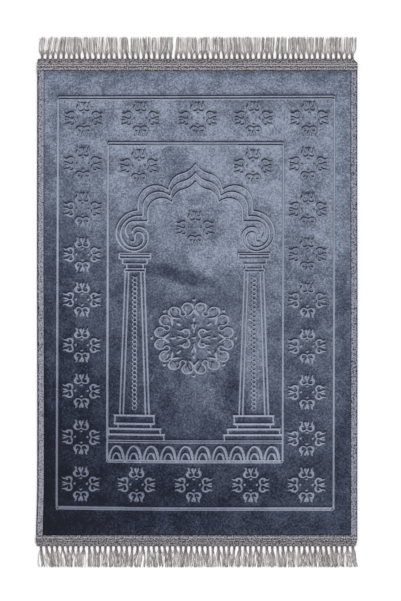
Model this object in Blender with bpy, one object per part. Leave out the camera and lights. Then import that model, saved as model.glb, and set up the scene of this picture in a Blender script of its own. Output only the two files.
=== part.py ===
"""Prayer rug: a pressed velvet panel with bound sides and a fringed braid across each end.

Metres, +Z up. The rug lies flat on z = 0 with the niche's point towards +Y and its width along X.
The origin is the middle of the footprint. Seven pieces, each a closed solid: the velvet panel, two
folded side tapes, two end braids, and two knotted fringes, each a comb along its end.
"""
import math
import random

import bmesh
import bpy

# --- Overall size -------------------------------------------------------------------------------
RUG_WIDTH = 0.8025          # widest, from the flared lower left corner to the right side
CORNER_FLARE = 0.0025       # how far that corner stands out past the straight left side
FLARE_LENGTH = 0.150        # the stretch of the left side that swings out to it
SIDE_WAVE = 0.0003          # sideways wander of both long edges
SIDE_WAVE_LENGTH = 0.90     # one full wave of that wander
LOWER_SHIFT = 0.0012        # the lower braid stops this far short on the right

BAND_TO_BAND = 1.216        # from the outer edge of one knotted row to that of the other
TOP_FRINGE = 0.055          # free yarn past the knotted row
LOWER_FRINGE = 0.053

# --- Cloth and trim -----------------------------------------------------------------------------
GAP = 0.0003                # between two pieces that touch
PILE_TOP = 0.0052           # height of the standing pile
SIDE_TAPE = 0.0010          # thickness of the side tape
SIDE_TAPE_FACE = 0.016      # width of the side tape seen on the face
SIDE_TAPE_BACK = 0.012      # width of the same tape under the cloth
SIDE_CLOTH = 0.0017         # the cloth pressed thin inside the side tape
BRAID = 0.0012              # thickness of the end braid in the dips between its ribs
BRAID_TOP = 0.0062          # height of the end braid's ribs
RIB_DEPTH = 0.0004          # the dips between the ribs
TOP_RIBBED = 0.0185         # width of the ribbed band, upper end
LOWER_RIBBED = 0.0145       # the same, lower end
TOP_KNOTS = 0.0110          # width of the knotted row, upper end
LOWER_KNOTS = 0.0120        # the same, lower end
RIBS = 3                    # ribs along each braid
RIB_FLAT = 0.4              # share of a rib's pitch that is its flat top
PILE_SHOULDER = 0.0030      # how far the pile takes to rise beside a trim

# --- Pressed frame lines ------------------------------------------------------------------------
PATTERN_X = -0.0038         # the frames sit this far off the middle
OUTER_FRAME = (0.6894, 1.0252)    # width and length between the groove middles
OUTER_FRAME_Y = -0.0028     # middle of the outer frame along Y
INNER_FRAME = (0.437, 0.792)
INNER_FRAME_Y = -0.00145     # the same for the inner frame
GROOVE = 0.0095             # width of a frame groove
GROOVE_DEPTH = 0.0016
RIDGE_DEPTH = 0.0009        # the low ridge between the groove's two pressed lines
LINE_AT = 0.5               # where the lines are deepest, as a share of half the groove's width

# --- Fringe -------------------------------------------------------------------------------------
TUFTS = 59
TUFT_BASE = 0.0050          # width where a tuft leaves its knot
TUFT_FAN = 0.0100           # width where the yarns have fanned out
TUFT_TIP = 0.0112           # width at the cut ends
FAN_AT = 0.018              # distance past the knots where the tuft has fanned out
KNOT_THICK = 0.0028         # thickness of the knotted row
FAN_THICK = 0.0020          # thickness of a tuft where it has fanned out
TUFT_THICK = 0.0017         # thickness of a tuft at its cut end
KNOT_CORNER = 0.0065        # how far the knotted row is cut back at its outer corners
TUFT_SWAY = 0.0022          # sideways lean of the tips
SWAY_WAVES = (              # share of the lean, radians per tuft, phase
    (0.45, 0.63, 0.0),
    (0.35, 0.29, 1.0),
)
END_SPLAY = 0.6             # share of the lean by which the outermost tufts splay outwards
FAN_BEND = 0.35             # share of the lean reached where a tuft has fanned out
TUFT_RAGGED = 0.0020        # spread of the cut lengths
TUFT_SEED = 11

# --- Places that follow from the sizes ----------------------------------------------------------
TOTAL_LENGTH = TOP_FRINGE + BAND_TO_BAND + LOWER_FRINGE
TOP_EDGE = TOTAL_LENGTH / 2 - TOP_FRINGE            # outer edge of the upper knotted row
LOWER_EDGE = -TOTAL_LENGTH / 2 + LOWER_FRINGE       # outer edge of the lower knotted row
TOP_LIP = TOP_EDGE - TOP_KNOTS - GAP                # outer face of the upper braid
LOWER_LIP = LOWER_EDGE + LOWER_KNOTS + GAP
TOP_CLOTH = TOP_LIP - BRAID - GAP                   # cut end of the velvet under the upper braid
LOWER_CLOTH = LOWER_LIP + BRAID + GAP
TOP_BRAID_INNER = TOP_LIP - TOP_RIBBED
LOWER_BRAID_INNER = LOWER_LIP + LOWER_RIBBED

BRAID_UNDER = BRAID_TOP - RIB_DEPTH - BRAID        # underside of the braid over the cloth
UNDER_BRAID = BRAID_UNDER - GAP                     # highest the cloth goes under the braid
SIDE_CLOTH_BOTTOM = SIDE_TAPE + GAP
SIDE_CLOTH_TOP = SIDE_CLOTH_BOTTOM + SIDE_CLOTH
SIDE_FACE_BOTTOM = SIDE_CLOTH_TOP + GAP
SIDE_FACE_TOP = SIDE_FACE_BOTTOM + SIDE_TAPE
CLOTH_EDGE = SIDE_FACE_TOP / 2                      # the cloth stops where the tape's fold turns


def smooth(t):
    """An even ease from 0 to 1."""
    t = min(max(t, 0.0), 1.0)
    return t * t * (3 - 2 * t)


def wander(y, phase):
    """The slow sideways wander of a long edge."""
    return SIDE_WAVE * (math.sin(2 * math.pi * y / SIDE_WAVE_LENGTH + phase) - 1)


def left_side(y):
    """X of the left tape's outer fold, which flares out at the lower corner."""
    flare = smooth(1 - (y - LOWER_LIP) / FLARE_LENGTH)
    return -RUG_WIDTH / 2 + CORNER_FLARE * (1 - flare) - wander(y, 0.4) * (1 - flare)


def right_side(y):
    """X of the right tape's outer fold."""
    return RUG_WIDTH / 2 + wander(y, 2.1)


def material(name, colour, roughness):
    """A plain Principled finish for one piece."""
    mat = bpy.data.materials.new(name)
    mat.use_nodes = True
    shader = mat.node_tree.nodes["Principled BSDF"]
    shader.inputs["Base Color"].default_value = (*colour, 1.0)
    shader.inputs["Roughness"].default_value = roughness
    shader.inputs["Metallic"].default_value = 0.0
    mat.diffuse_color = (*colour, 1.0)
    return mat


def add_object(name, bm, mat):
    """Links the finished mesh as one named object."""
    mesh = bpy.data.meshes.new(name)
    bm.to_mesh(mesh)
    bm.free()
    mesh.materials.append(mat)
    mesh.shade_smooth()
    mesh.set_sharp_from_angle(angle=math.radians(35))
    obj = bpy.data.objects.new(name, mesh)
    bpy.context.collection.objects.link(obj)
    return obj


def cloth_solid(name, points, quads, top, bottom, mat):
    """A closed sheet over a flat layout of quads: top(x, y) and bottom(x, y) give its heights."""
    bm = bmesh.new()
    upper = [bm.verts.new((x, y, top(x, y))) for x, y in points]
    lower = [bm.verts.new((x, y, bottom(x, y))) for x, y in points]
    border = set()
    for quad in quads:
        bm.faces.new([upper[i] for i in quad])
        bm.faces.new([lower[i] for i in reversed(quad)])
        for a, b in zip(quad, quad[1:] + quad[:1]):
            if (b, a) in border:
                border.remove((b, a))
            else:
                border.add((a, b))
    for a, b in sorted(border):
        bm.faces.new((upper[b], upper[a], lower[a], lower[b]))
    return add_object(name, bm, mat)


def swept_strip(name, rings, mat):
    """A closed strip from rings of points that run clockwise seen along the sweep."""
    bm = bmesh.new()
    loops = [[bm.verts.new(p) for p in ring] for ring in rings]
    count = len(loops[0])
    for near, far in zip(loops, loops[1:]):
        for i in range(count):
            j = (i + 1) % count
            bm.faces.new((near[i], near[j], far[j], far[i]))
    bm.faces.new(list(reversed(loops[0])))
    bm.faces.new(loops[-1])
    bmesh.ops.recalc_face_normals(bm, faces=bm.faces)
    return add_object(name, bm, mat)


# --- Velvet panel -------------------------------------------------------------------------------
def frame_depth(x, y, size, middle_y):
    """Depth of one frame's pressed groove, which has two lines and a low ridge between them."""
    across = abs(x - PATTERN_X) - size[0] / 2
    along = abs(y - middle_y) - size[1] / 2
    off = abs(max(across, along)) / (GROOVE / 2)
    if off >= 1:
        return 0.0
    if off >= LINE_AT:
        return GROOVE_DEPTH * (1 - off) / (1 - LINE_AT)
    return RIDGE_DEPTH + (GROOVE_DEPTH - RIDGE_DEPTH) * off / LINE_AT


def side_distance(x, y):
    """Distance in from the nearer outer fold."""
    return min(x - left_side(y), right_side(y) - x)


def panel_top(x, y):
    """The pile's height: full in the field, pressed thin inside the tapes and under the braids."""
    height = PILE_TOP - frame_depth(x, y, OUTER_FRAME, OUTER_FRAME_Y)
    height -= frame_depth(x, y, INNER_FRAME, INNER_FRAME_Y)
    rise_side = smooth((side_distance(x, y) - SIDE_TAPE_FACE - GAP) / PILE_SHOULDER)
    rise_end = smooth((min(TOP_BRAID_INNER - y, y - LOWER_BRAID_INNER) - GAP) / PILE_SHOULDER)
    at_side = SIDE_CLOTH_TOP + (height - SIDE_CLOTH_TOP) * rise_side
    at_end = UNDER_BRAID + (height - UNDER_BRAID) * rise_end
    return min(at_side, at_end)


def panel_bottom(x, y):
    """Flat on the floor, lifted by the tape folded under each long edge."""
    lift = 1 - smooth((side_distance(x, y) - SIDE_TAPE_BACK - GAP) / PILE_SHOULDER)
    return SIDE_CLOTH_BOTTOM * lift


def groove_stations(middle, size):
    """The grid lines that shape one frame's groove on both of its sides."""
    steps = (-1.0, -LINE_AT, 0.0, LINE_AT, 1.0)
    return [middle + side * size / 2 + step * GROOVE / 2 for side in (-1, 1) for step in steps]


def row_stations():
    """Every Y where the panel and the side tapes have a row of points, from the lower end up."""
    rows = []
    for braid, cloth, way in ((LOWER_BRAID_INNER, LOWER_CLOTH, 1), (TOP_BRAID_INNER, TOP_CLOTH, -1)):
        rows += [cloth, braid + way * GAP, braid + way * (GAP + PILE_SHOULDER / 2)]
        rows.append(braid + way * (GAP + PILE_SHOULDER))
    rows += groove_stations(OUTER_FRAME_Y, OUTER_FRAME[1])
    rows += groove_stations(INNER_FRAME_Y, INNER_FRAME[1])
    rows += [LOWER_BRAID_INNER + FLARE_LENGTH / 3, LOWER_LIP + FLARE_LENGTH * 0.75, 0.0]
    return sorted(rows)


def build_panel(mat):
    """The velvet panel on one grid, with grid lines along every groove and shoulder."""
    shoulders = (CLOTH_EDGE, SIDE_TAPE_BACK + GAP, SIDE_TAPE_BACK + GAP + PILE_SHOULDER,
                 SIDE_TAPE_FACE + GAP, SIDE_TAPE_FACE + GAP + PILE_SHOULDER / 2,
                 SIDE_TAPE_FACE + GAP + PILE_SHOULDER)
    inner_x = groove_stations(PATTERN_X, OUTER_FRAME[0]) + groove_stations(PATTERN_X, INNER_FRAME[0])
    inner_x.sort()
    rows = row_stations()
    points = []
    for y in rows:
        xs = [left_side(y) + s for s in shoulders] + inner_x
        xs += [right_side(y) - s for s in reversed(shoulders)]
        points += [(x, y) for x in xs]
    across = len(xs)
    quads = []
    for row in range(len(rows) - 1):
        for col in range(across - 1):
            first = row * across + col
            quads.append([first, first + 1, first + 1 + across, first + across])
    return cloth_solid("velvet_panel", points, quads, panel_top, panel_bottom, mat)


# --- Side tapes ---------------------------------------------------------------------------------
def tape_section():
    """The folded tape's section as (distance in from the fold, height), round at the fold."""
    half = SIDE_FACE_TOP / 2
    fold = [(half * (1 - math.cos(a)), half + half * math.sin(a))
            for a in (math.radians(d) for d in (-90, -60, -30, 0, 30, 60, 90))]
    inside = half - SIDE_TAPE
    hollow = [(SIDE_TAPE + inside * (1 - math.cos(a)), half + inside * math.sin(a))
              for a in (math.radians(d) for d in (90, 45, 0, -45, -90))]
    return (fold + [(SIDE_TAPE_FACE, SIDE_FACE_TOP), (SIDE_TAPE_FACE, SIDE_FACE_BOTTOM)] + hollow
            + [(SIDE_TAPE_BACK, SIDE_TAPE), (SIDE_TAPE_BACK, 0.0)])


def build_tape(name, side, way, mat):
    """One side tape, folded over the long edge from one cut end of the cloth to the other."""
    section = tape_section()
    rings = [[(side(y) + way * inward, y, height) for inward, height in section]
             for y in row_stations()]
    return swept_strip(name, rings, mat)


# --- End braids ---------------------------------------------------------------------------------
def braid_section(width):
    """The braid's section as (distance in from the lip, height): ribs on top, a lip turned down."""
    pitch = (width - BRAID) / RIBS
    top = []
    for rib in range(RIBS):
        start = BRAID + rib * pitch
        slope = pitch * (1 - RIB_FLAT) / 2
        top += [(start + slope, BRAID_TOP), (start + pitch - slope, BRAID_TOP)]
        top.append((start + pitch, BRAID_TOP - RIB_DEPTH))
    lip = [(0.0, 0.0), (0.0, BRAID_TOP - BRAID), (BRAID / 3, BRAID_TOP - BRAID / 3),
           (BRAID, BRAID_TOP - RIB_DEPTH / 2)]
    return lip + top + [(width, BRAID_UNDER), (BRAID, BRAID_UNDER), (BRAID, 0.0)]


def build_braid(name, lip, way, width, right_trim, mat):
    """One end braid, from the left tape's fold to the right one's."""
    section = [(lip + way * inward, height) for inward, height in braid_section(width)]
    left = [(left_side(y), y, height) for y, height in section]
    right = [(right_side(y) - right_trim, y, height) for y, height in section]
    return swept_strip(name, [left, right], mat)


# --- Fringes ------------------------------------------------------------------------------------
def fringe_heights(knots, length):
    """Heights along the comb as (distance out from the lip, bottom, top): it sinks to the floor."""
    high = BRAID_TOP - BRAID
    return ((0.0, high - KNOT_THICK, high), (knots, 0.0, KNOT_THICK),
            (knots + FAN_AT, 0.0, FAN_THICK), (knots + length, 0.0, TUFT_THICK))


def height_at(table, out, column):
    """Reads one column of a height table at a distance out."""
    for near, far in zip(table, table[1:]):
        if out <= far[0]:
            part = (out - near[0]) / (far[0] - near[0])
            return near[column] + (far[column] - near[column]) * part
    return table[-1][column]


def tuft_layout(left, right, rng):
    """Each tuft as (middle at the knots, lean at the tip, cut back at the tip).

    The middle tuft isn't cut back, so the comb reaches the fringe's full length.
    """
    pitch = (right - left) / TUFTS
    tufts = []
    for i in range(TUFTS):
        middle = left + pitch * (i + 0.5)
        lean = sum(share * math.sin(i * step + phase) for share, step, phase in SWAY_WAVES)
        lean -= END_SPLAY * (1 - 2 * i / (TUFTS - 1)) ** 5
        ragged = 0.0 if i == TUFTS // 2 else TUFT_RAGGED * rng.random()
        tufts.append((middle, TUFT_SWAY * lean, ragged))
    return tufts


def build_fringe(name, lip, way, knots, length, right_trim, mat):
    """One knotted fringe: a row of knots against the braid, with tufts fanning onto the floor."""
    rng = random.Random(TUFT_SEED)
    left = left_side(lip)
    right = right_side(lip) - right_trim
    tufts = tuft_layout(left + KNOT_CORNER / 2, right - KNOT_CORNER / 2, rng)
    inner_row = [(left, 0.0)]
    outer_row = [(left + KNOT_CORNER / 2, knots)]
    for middle, _, _ in tufts:
        inner_row += [(middle - TUFT_BASE / 2, 0.0), (middle + TUFT_BASE / 2, 0.0)]
        outer_row += [(middle - TUFT_BASE / 2, knots), (middle + TUFT_BASE / 2, knots)]
    inner_row.append((right, 0.0))
    outer_row.append((right - KNOT_CORNER / 2, knots))
    flat = inner_row + outer_row
    count = len(inner_row)
    quads = [[i, i + 1, count + i + 1, count + i] for i in range(count - 1)]
    for i, (middle, lean, cut) in enumerate(tufts):
        near = [count + 1 + 2 * i, count + 2 + 2 * i]
        for width, out, bend in ((TUFT_FAN, FAN_AT, FAN_BEND), (TUFT_TIP, length - cut, 1.0)):
            first = len(flat)
            flat.append((middle + lean * bend - width / 2, knots + out))
            flat.append((middle + lean * bend + width / 2, knots + out))
            quads.append([near[0], near[1], first + 1, first])
            near = [first, first + 1]
    if way < 0:
        quads = [list(reversed(quad)) for quad in quads]
    points = [(x, lip + way * (GAP + out)) for x, out in flat]
    table = fringe_heights(knots, length)

    def top(x, y):
        return height_at(table, abs(y - lip) - GAP, 2)

    def bottom(x, y):
        return height_at(table, abs(y - lip) - GAP, 1)

    return cloth_solid(name, points, quads, top, bottom, mat)


def main():
    for obj in list(bpy.data.objects):
        bpy.data.objects.remove(obj)
    velvet = material("velvet", (0.085, 0.105, 0.160), 0.85)
    tape = material("side_tape", (0.240, 0.245, 0.290), 0.80)
    braid = material("end_braid", (0.215, 0.200, 0.200), 0.80)
    yarn = material("fringe_yarn", (0.420, 0.400, 0.380), 0.85)
    build_panel(velvet)
    build_tape("tape_left", left_side, 1, tape)
    build_tape("tape_right", right_side, -1, tape)
    build_braid("braid_top", TOP_LIP, -1, TOP_RIBBED, 0.0, braid)
    build_braid("braid_lower", LOWER_LIP, 1, LOWER_RIBBED, LOWER_SHIFT, braid)
    build_fringe("fringe_top", TOP_LIP, 1, TOP_KNOTS, TOP_FRINGE, 0.0, yarn)
    build_fringe("fringe_lower", LOWER_LIP, -1, LOWER_KNOTS, LOWER_FRINGE, LOWER_SHIFT, yarn)


main()
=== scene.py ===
"""Prayer rug, its looks: pressed velvet, woven side tapes, ribbed end braids and loose fringes.

Metres, +Z up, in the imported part's own frame: the niche points to +Y and the rug lies on z = 0.
The velvet's pattern is charted in millimetres from its own middle line, as the runs and turns
of a pressing tool, and is pressed into the pile as real grooves.
"""
import math
import random
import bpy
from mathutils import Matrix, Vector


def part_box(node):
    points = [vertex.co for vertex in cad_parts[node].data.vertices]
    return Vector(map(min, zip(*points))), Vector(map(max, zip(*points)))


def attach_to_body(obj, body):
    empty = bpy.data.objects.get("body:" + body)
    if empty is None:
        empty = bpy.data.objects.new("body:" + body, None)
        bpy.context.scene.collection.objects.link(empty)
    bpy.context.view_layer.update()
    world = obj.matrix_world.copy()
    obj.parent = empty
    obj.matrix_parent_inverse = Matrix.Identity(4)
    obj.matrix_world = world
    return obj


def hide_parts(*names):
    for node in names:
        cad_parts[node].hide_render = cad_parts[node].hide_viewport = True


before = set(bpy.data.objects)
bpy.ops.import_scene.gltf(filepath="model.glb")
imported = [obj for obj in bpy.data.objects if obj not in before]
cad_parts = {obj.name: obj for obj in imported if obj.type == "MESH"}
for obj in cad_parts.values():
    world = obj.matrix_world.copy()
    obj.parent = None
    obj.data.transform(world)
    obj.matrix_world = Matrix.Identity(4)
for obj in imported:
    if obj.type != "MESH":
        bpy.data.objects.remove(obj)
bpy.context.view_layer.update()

from types import SimpleNamespace

import bpy
from mathutils import Vector, geometry, kdtree, noise

MM = 0.001

# --- The rug's places, read from the frame ------------------------------------------------------
CLOTH_LOW, CLOTH_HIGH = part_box("velvet_panel")
TOP_BRAID_LOW, TOP_BRAID_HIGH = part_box("braid_top")
LOWER_BRAID_LOW, LOWER_BRAID_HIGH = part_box("braid_lower")
TOP_FRINGE_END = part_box("fringe_top")[1].y
LOWER_FRINGE_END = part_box("fringe_lower")[0].y
HALF_WIDTH = -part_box("tape_left")[0].x      # out to the flared lower left corner
PILE_TOP = CLOTH_HIGH.z
BRAID_TOP = TOP_BRAID_HIGH.z
TOP_LIP = TOP_BRAID_HIGH.y                  # outer face of each braid
LOWER_LIP = LOWER_BRAID_LOW.y
TOP_BRAID_INNER = TOP_BRAID_LOW.y           # where the velvet shows from
LOWER_BRAID_INNER = LOWER_BRAID_HIGH.y

# --- Sizes of the sewn pieces, as the CAD has them ----------------------------------------------
GAP = 0.0003                # between two pieces that touch
CORNER_FLARE = 0.0025       # how far the lower left corner stands out
FLARE_LENGTH = 0.150        # the stretch of the left side that swings out to it
SIDE_WAVE = 0.0003          # sideways wander of both long edges
SIDE_WAVE_LENGTH = 0.90
LEFT_PHASE = 0.4            # where along that wave each side starts
RIGHT_PHASE = 2.1
LOWER_SHIFT = 0.0012        # the lower braid stops this far short on the right
SIDE_TAPE = 0.0010          # thickness of the side tape
SIDE_TAPE_FACE = 0.016      # width of the side tape seen on the face
SIDE_TAPE_BACK = 0.012      # width of the same tape under the cloth
SIDE_CLOTH = 0.0017         # the cloth pressed thin inside the side tape
BRAID = 0.0012              # thickness of the end braid
RIB_DEPTH = 0.0004          # the dips between its ribs
PILE_SHOULDER = 0.0030      # how far the pile takes to rise beside a trim
TOP_KNOTS = 0.0110          # width of the knotted rows
LOWER_KNOTS = 0.0120
KNOT_CORNER = 0.0065        # how far a knotted row is cut back at its outer corners
KNOT_THICK = 0.0028         # thickness of a knotted row
TUFTS = 59

BRAID_UNDER = BRAID_TOP - RIB_DEPTH - BRAID
SIDE_CLOTH_BOTTOM = SIDE_TAPE + GAP
SIDE_CLOTH_TOP = SIDE_CLOTH_BOTTOM + SIDE_CLOTH
SIDE_FACE_BOTTOM = SIDE_CLOTH_TOP + GAP
SIDE_FACE_TOP = SIDE_FACE_BOTTOM + SIDE_TAPE
CLOTH_EDGE = SIDE_FACE_TOP / 2


def smooth(t):
    """An even ease from 0 to 1."""
    t = min(max(t, 0.0), 1.0)
    return t * t * (3 - 2 * t)


def read_off(table, place):
    """A value from (place, value) pairs, held at both ends."""
    for near, far in zip(table, table[1:]):
        if place <= far[0]:
            part = max(0.0, (place - near[0]) / (far[0] - near[0]))
            return near[1] + (far[1] - near[1]) * part
    return table[-1][1]


def wander(y, phase):
    """The slow sideways wander of a long edge."""
    return SIDE_WAVE * (math.sin(2 * math.pi * y / SIDE_WAVE_LENGTH + phase) - 1)


def left_side(y):
    """X of the left tape's outer fold, which flares out at the lower corner."""
    flare = smooth(1 - (y - LOWER_LIP) / FLARE_LENGTH)
    return -HALF_WIDTH + (CORNER_FLARE - wander(y, LEFT_PHASE)) * (1 - flare)


def right_side(y):
    """X of the right tape's outer fold."""
    return HALF_WIDTH + wander(y, RIGHT_PHASE)


def side_distance(x, y):
    """Distance in from the nearer outer fold."""
    return min(x - left_side(y), right_side(y) - x)


# --- The pressed pattern, charted in millimetres ------------------------------------------------
PATTERN_X = -3.8            # the pattern's middle line, off the rug's own
HALF_FRAME = (345.5, 513.0)     # half the outer frame, the reach of the pattern
LEAN = 1.5                  # the pattern leans this far right at its top and left at its foot
LEAN_LEFT = 0.4             # more so along its left side
TOP_TILT = 1.3              # its top frame line climbs to the right
TOP_TILT_FROM = (0.78, 0.96)    # which begins between these shares of the pattern's reach
LEFT_LIFT = (               # share of the reach, how far the left side is drawn up there
    (-1.0, 3.5), (-0.88, 4.6), (-0.65, 6.0), (-0.4, 5.3), (0.0, 3.0), (1.0, 0.6))

CURVE_STEP = 3.0            # spacing of points along the large curves
MOTIF_STEP = 2.0            # and along the small motifs
WALL_SHARE = 0.7            # the most of a groove's half width that its wall takes
WALL = 2.1                  # and the wall's greatest width
WALL_LEAN = 0.42            # how much broader it is across the top of a groove, and narrower at the foot
GROOVE_DEPTH = 0.0015       # metres
LINE_LIT = 1.0              # how a groove's floor catches the light: 0 like the pile, 1 brightest
RING_LIT = 0.8
MOTIF_LIT = 0.5
EYE_LIT = 0.2


def follow(start, heading, parts, step):
    """Points along runs (length,) and turns (radius, degrees), with left turns positive."""
    x, y = start
    angle = math.radians(heading)
    points = [(x, y)]
    for part in parts:
        if len(part) == 1:
            count = math.ceil(part[0] / step)
            for i in range(1, count + 1):
                along = part[0] * i / count
                points.append((x + along * math.cos(angle), y + along * math.sin(angle)))
            x, y = points[-1]
            continue
        radius, degrees = part
        sweep = math.radians(degrees)
        side = math.copysign(radius, sweep)
        middle_x = x - side * math.sin(angle)
        middle_y = y + side * math.cos(angle)
        count = max(2, math.ceil(abs(sweep) * radius / step))
        for i in range(1, count + 1):
            turned = angle + sweep * i / count
            points.append((middle_x + side * math.sin(turned), middle_y - side * math.cos(turned)))
        x, y = points[-1]
        angle += sweep
    return points


def straight(start, end, step=CURVE_STEP):
    """Points along a straight line."""
    count = max(1, math.ceil(math.dist(start, end) / step))
    return [(start[0] + (end[0] - start[0]) * i / count, start[1] + (end[1] - start[1]) * i / count)
            for i in range(count + 1)]


def oval(middle, radii, first=0.0, sweep=360.0, step=MOTIF_STEP):
    """Points round an ellipse or a part of one."""
    count = max(8, math.ceil(math.radians(abs(sweep)) * max(radii) / step))
    angles = [math.radians(first + sweep * i / count) for i in range(count + 1)]
    return [(middle[0] + radii[0] * math.cos(a), middle[1] + radii[1] * math.sin(a)) for a in angles]


def mirrored(points):
    return [(-x, y) for x, y in points]


def placed(points, middle, degrees=0.0, scale=1.0, stretch=(1.0, 1.0)):
    """Points scaled, turned and stretched, and then moved to a middle."""
    cos, sin = math.cos(math.radians(degrees)) * scale, math.sin(math.radians(degrees)) * scale
    return [(middle[0] + (cos * x - sin * y) * stretch[0], middle[1] + (sin * x + cos * y) * stretch[1])
            for x, y in points]


def settled(point):
    """A charted point in its place on the rug, in millimetres, where the cloth lies a little askew."""
    across, along = point[0] / HALF_FRAME[0], point[1] / HALF_FRAME[1]
    near, far = TOP_TILT_FROM
    tilt = TOP_TILT * across * smooth((along - near) / (far - near))
    lift = read_off(LEFT_LIFT, along) * min(across, 0.0) ** 2
    return point[0] + along * (LEAN - LEAN_LEFT * across) + PATTERN_X, point[1] + tilt + lift


class Pattern:
    """The pressed lines, each a row of points, the groove's half width at each, and how lit its floor is."""

    def __init__(self):
        self.lines = []
        self.lit = LINE_LIT     # of the lines that are pressed next

    def press(self, points, width):
        """Adds a line. The width is one number, or (share of the length, width) pairs."""
        table = ((0.0, width), (1.0, width)) if isinstance(width, float) else width
        last = len(points) - 1
        halves = [read_off(table, i / last) / 2 for i in range(last + 1)]
        self.lines.append(([settled(p) for p in points], halves, self.lit))

    def press_both(self, points, width, about=0.0):
        """Adds a line and its mirror image about a line up the pattern."""
        self.press([(about + x, y) for x, y in points], width)
        self.press([(about + x, y) for x, y in mirrored(points)], width)


# Each frame is a double line. Across: half width, then middle. Along: top, bottom.
FRAMES = (
    (344.7, 0.8, 509.8, -515.4),
    (218.5, -0.2, 394.5, -397.4),
)
FRAME_UPRIGHT = (1.0, 4.2)      # half the spacing of its two lines, and their width
FRAME_TOP = 3.4                 # half the spacing of the two lines across the top
FRAME_FOOT = 2.6                # and across the foot
FRAME_LEVEL_LINE = 5.8
FRAME_CORNER = 3.5


def press_frame(pattern, half, middle, top, bottom):
    """A double line round a rectangle, broader across the rug than along it."""
    for out in (-1, 1):
        left = middle - half - out * FRAME_UPRIGHT[0]
        right = middle + half + out * FRAME_UPRIGHT[0]
        high = top + out * FRAME_TOP
        low = bottom - out * FRAME_FOOT
        bend = FRAME_CORNER
        for x in (left, right):
            pattern.press(straight((x, low + bend), (x, high - bend)), FRAME_UPRIGHT[1])
        for y in (low, high):
            pattern.press(straight((left + bend, y), (right - bend, y)), FRAME_LEVEL_LINE)
        corners = ((right, high, 0), (left, high, 90), (left, low, 180), (right, low, 270))
        for x, y, first in corners:
            inward = (math.copysign(bend, middle - x), math.copysign(bend, -y))
            centre = (x + inward[0], y + inward[1])
            pattern.press(oval(centre, (bend, bend), first, 90), FRAME_UPRIGHT[1])


ARCH_WIDTH = 6.4
ARCH_MIDDLE = -0.8
ARCH_APEX = ((0.0, 344.0), (0.0, -22.0))        # the outer line's place, and the step to each next line's
ARCH_CUSP = ((66.0, 276.0), (-4.5, -15.0))      # between the pointed lobe and the round one
ARCH_LOW_CUSP = ((142.0, 227.0), (-12.0, -13.0))    # between the round lobe and the scroll
ARCH_DROP = (23.0, 2.0)         # how far the round lobe drops straight down to that, and the step
ARCH_TURN = (0.55, 0.36)        # where the pointed lobe's bend turns over: shares of its width and height
ARCH_BULGES = (-0.10, 0.17, 0.33)       # of its two bends and of the round lobe
ARCH_SCROLLS = (    # runs and turns, most of them right-hand quarters that tighten by ten millimetres
    ((55.0, -90), (45.0, -90), (35.0, -90), (25.0, -90), (15.0, -90)),
    ((12.0,), (44.0, -90), (34.0, -90), (24.0, -90), (14.0, -90), (8.0, -90), (10.0,), (6.0, 130)),
    ((34.0,), (22.0, -90), (25.0, -45)),
)


def bowed(start, end, bulge):
    """Points along an arc between two places, which rises to the left of the way by a share of it."""
    radius = math.dist(start, end) * (0.25 + bulge * bulge) / (2 * abs(bulge))
    half = math.degrees(2 * math.atan(2 * bulge))
    heading = math.degrees(math.atan2(end[1] - start[1], end[0] - start[0]))
    return follow(start, heading + half, ((radius, -2 * half),), CURVE_STEP)


def press_arch(pattern):
    """The lobed arch: three lines that end in a scroll over each column."""
    for line, scroll in enumerate(ARCH_SCROLLS):
        apex, cusp, low = ((x + line * across, y + line * up)
                           for (x, y), (across, up) in (ARCH_APEX, ARCH_CUSP, ARCH_LOW_CUSP))
        turn = (cusp[0] * ARCH_TURN[0], apex[1] + (cusp[1] - apex[1]) * ARCH_TURN[1])
        drop = (low[0], low[1] + ARCH_DROP[0] + ARCH_DROP[1] * line)
        places = (apex, turn, cusp, drop)
        for near, far, bulge in zip(places, places[1:], ARCH_BULGES):
            pattern.press_both(bowed(near, far, bulge), ARCH_WIDTH, ARCH_MIDDLE)
        pattern.press_both(straight(drop, low), ARCH_WIDTH, ARCH_MIDDLE)
        pattern.press_both(follow(low, 0, scroll, CURVE_STEP), ARCH_WIDTH, ARCH_MIDDLE)


COLUMN_MIDDLE = -2.4
COLUMN_APART = 148.8        # from that middle to each column's own
COLUMN_LINE = 5.0
SHAFT = (76.1, -282.0)      # top and foot of the shaft
SHAFT_LINES = ((23.8, 36.6), (15.2, 27.8))      # half widths at the top and the foot
BEADS = 30
BEAD_TOP = 55.2
BEAD_PITCH = 11.0
BEAD = (5.2, 5.3)
BEAD_LINE = 3.7
CAPITAL = (     # half width, bottom, top and the height of the line along the middle, or None
    (39.4, 108.3, 122.1, 116.8),
    (30.5, 95.5, 108.3, None),
    (20.5, 83.4, 95.5, None),
    (25.5, 76.1, 83.4, None),
)
FOOT_BANDS = (  # outer and inner half width, and height, of each broad line across the foot
    (48.6, 48.6, -283.2),
    (48.6, 48.6, -303.8),
    (64.0, 64.2, -316.6),
    (66.0, 73.4, -330.8),
)
FOOT_BAND = 8.4             # width of those lines
FOOT_SIDES = (  # half width, top, bottom and line width of each pair of upright lines
    (48.6, -283.2, -303.8, 5.0),
    (41.0, -303.8, -316.6, 4.4),
    (64.2, -316.6, -330.8, 4.8),
)
FOOT_STEP = (73.4, -330.8, -346.0, 4.8)     # the lowest step's upright, on the inner side only


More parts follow.
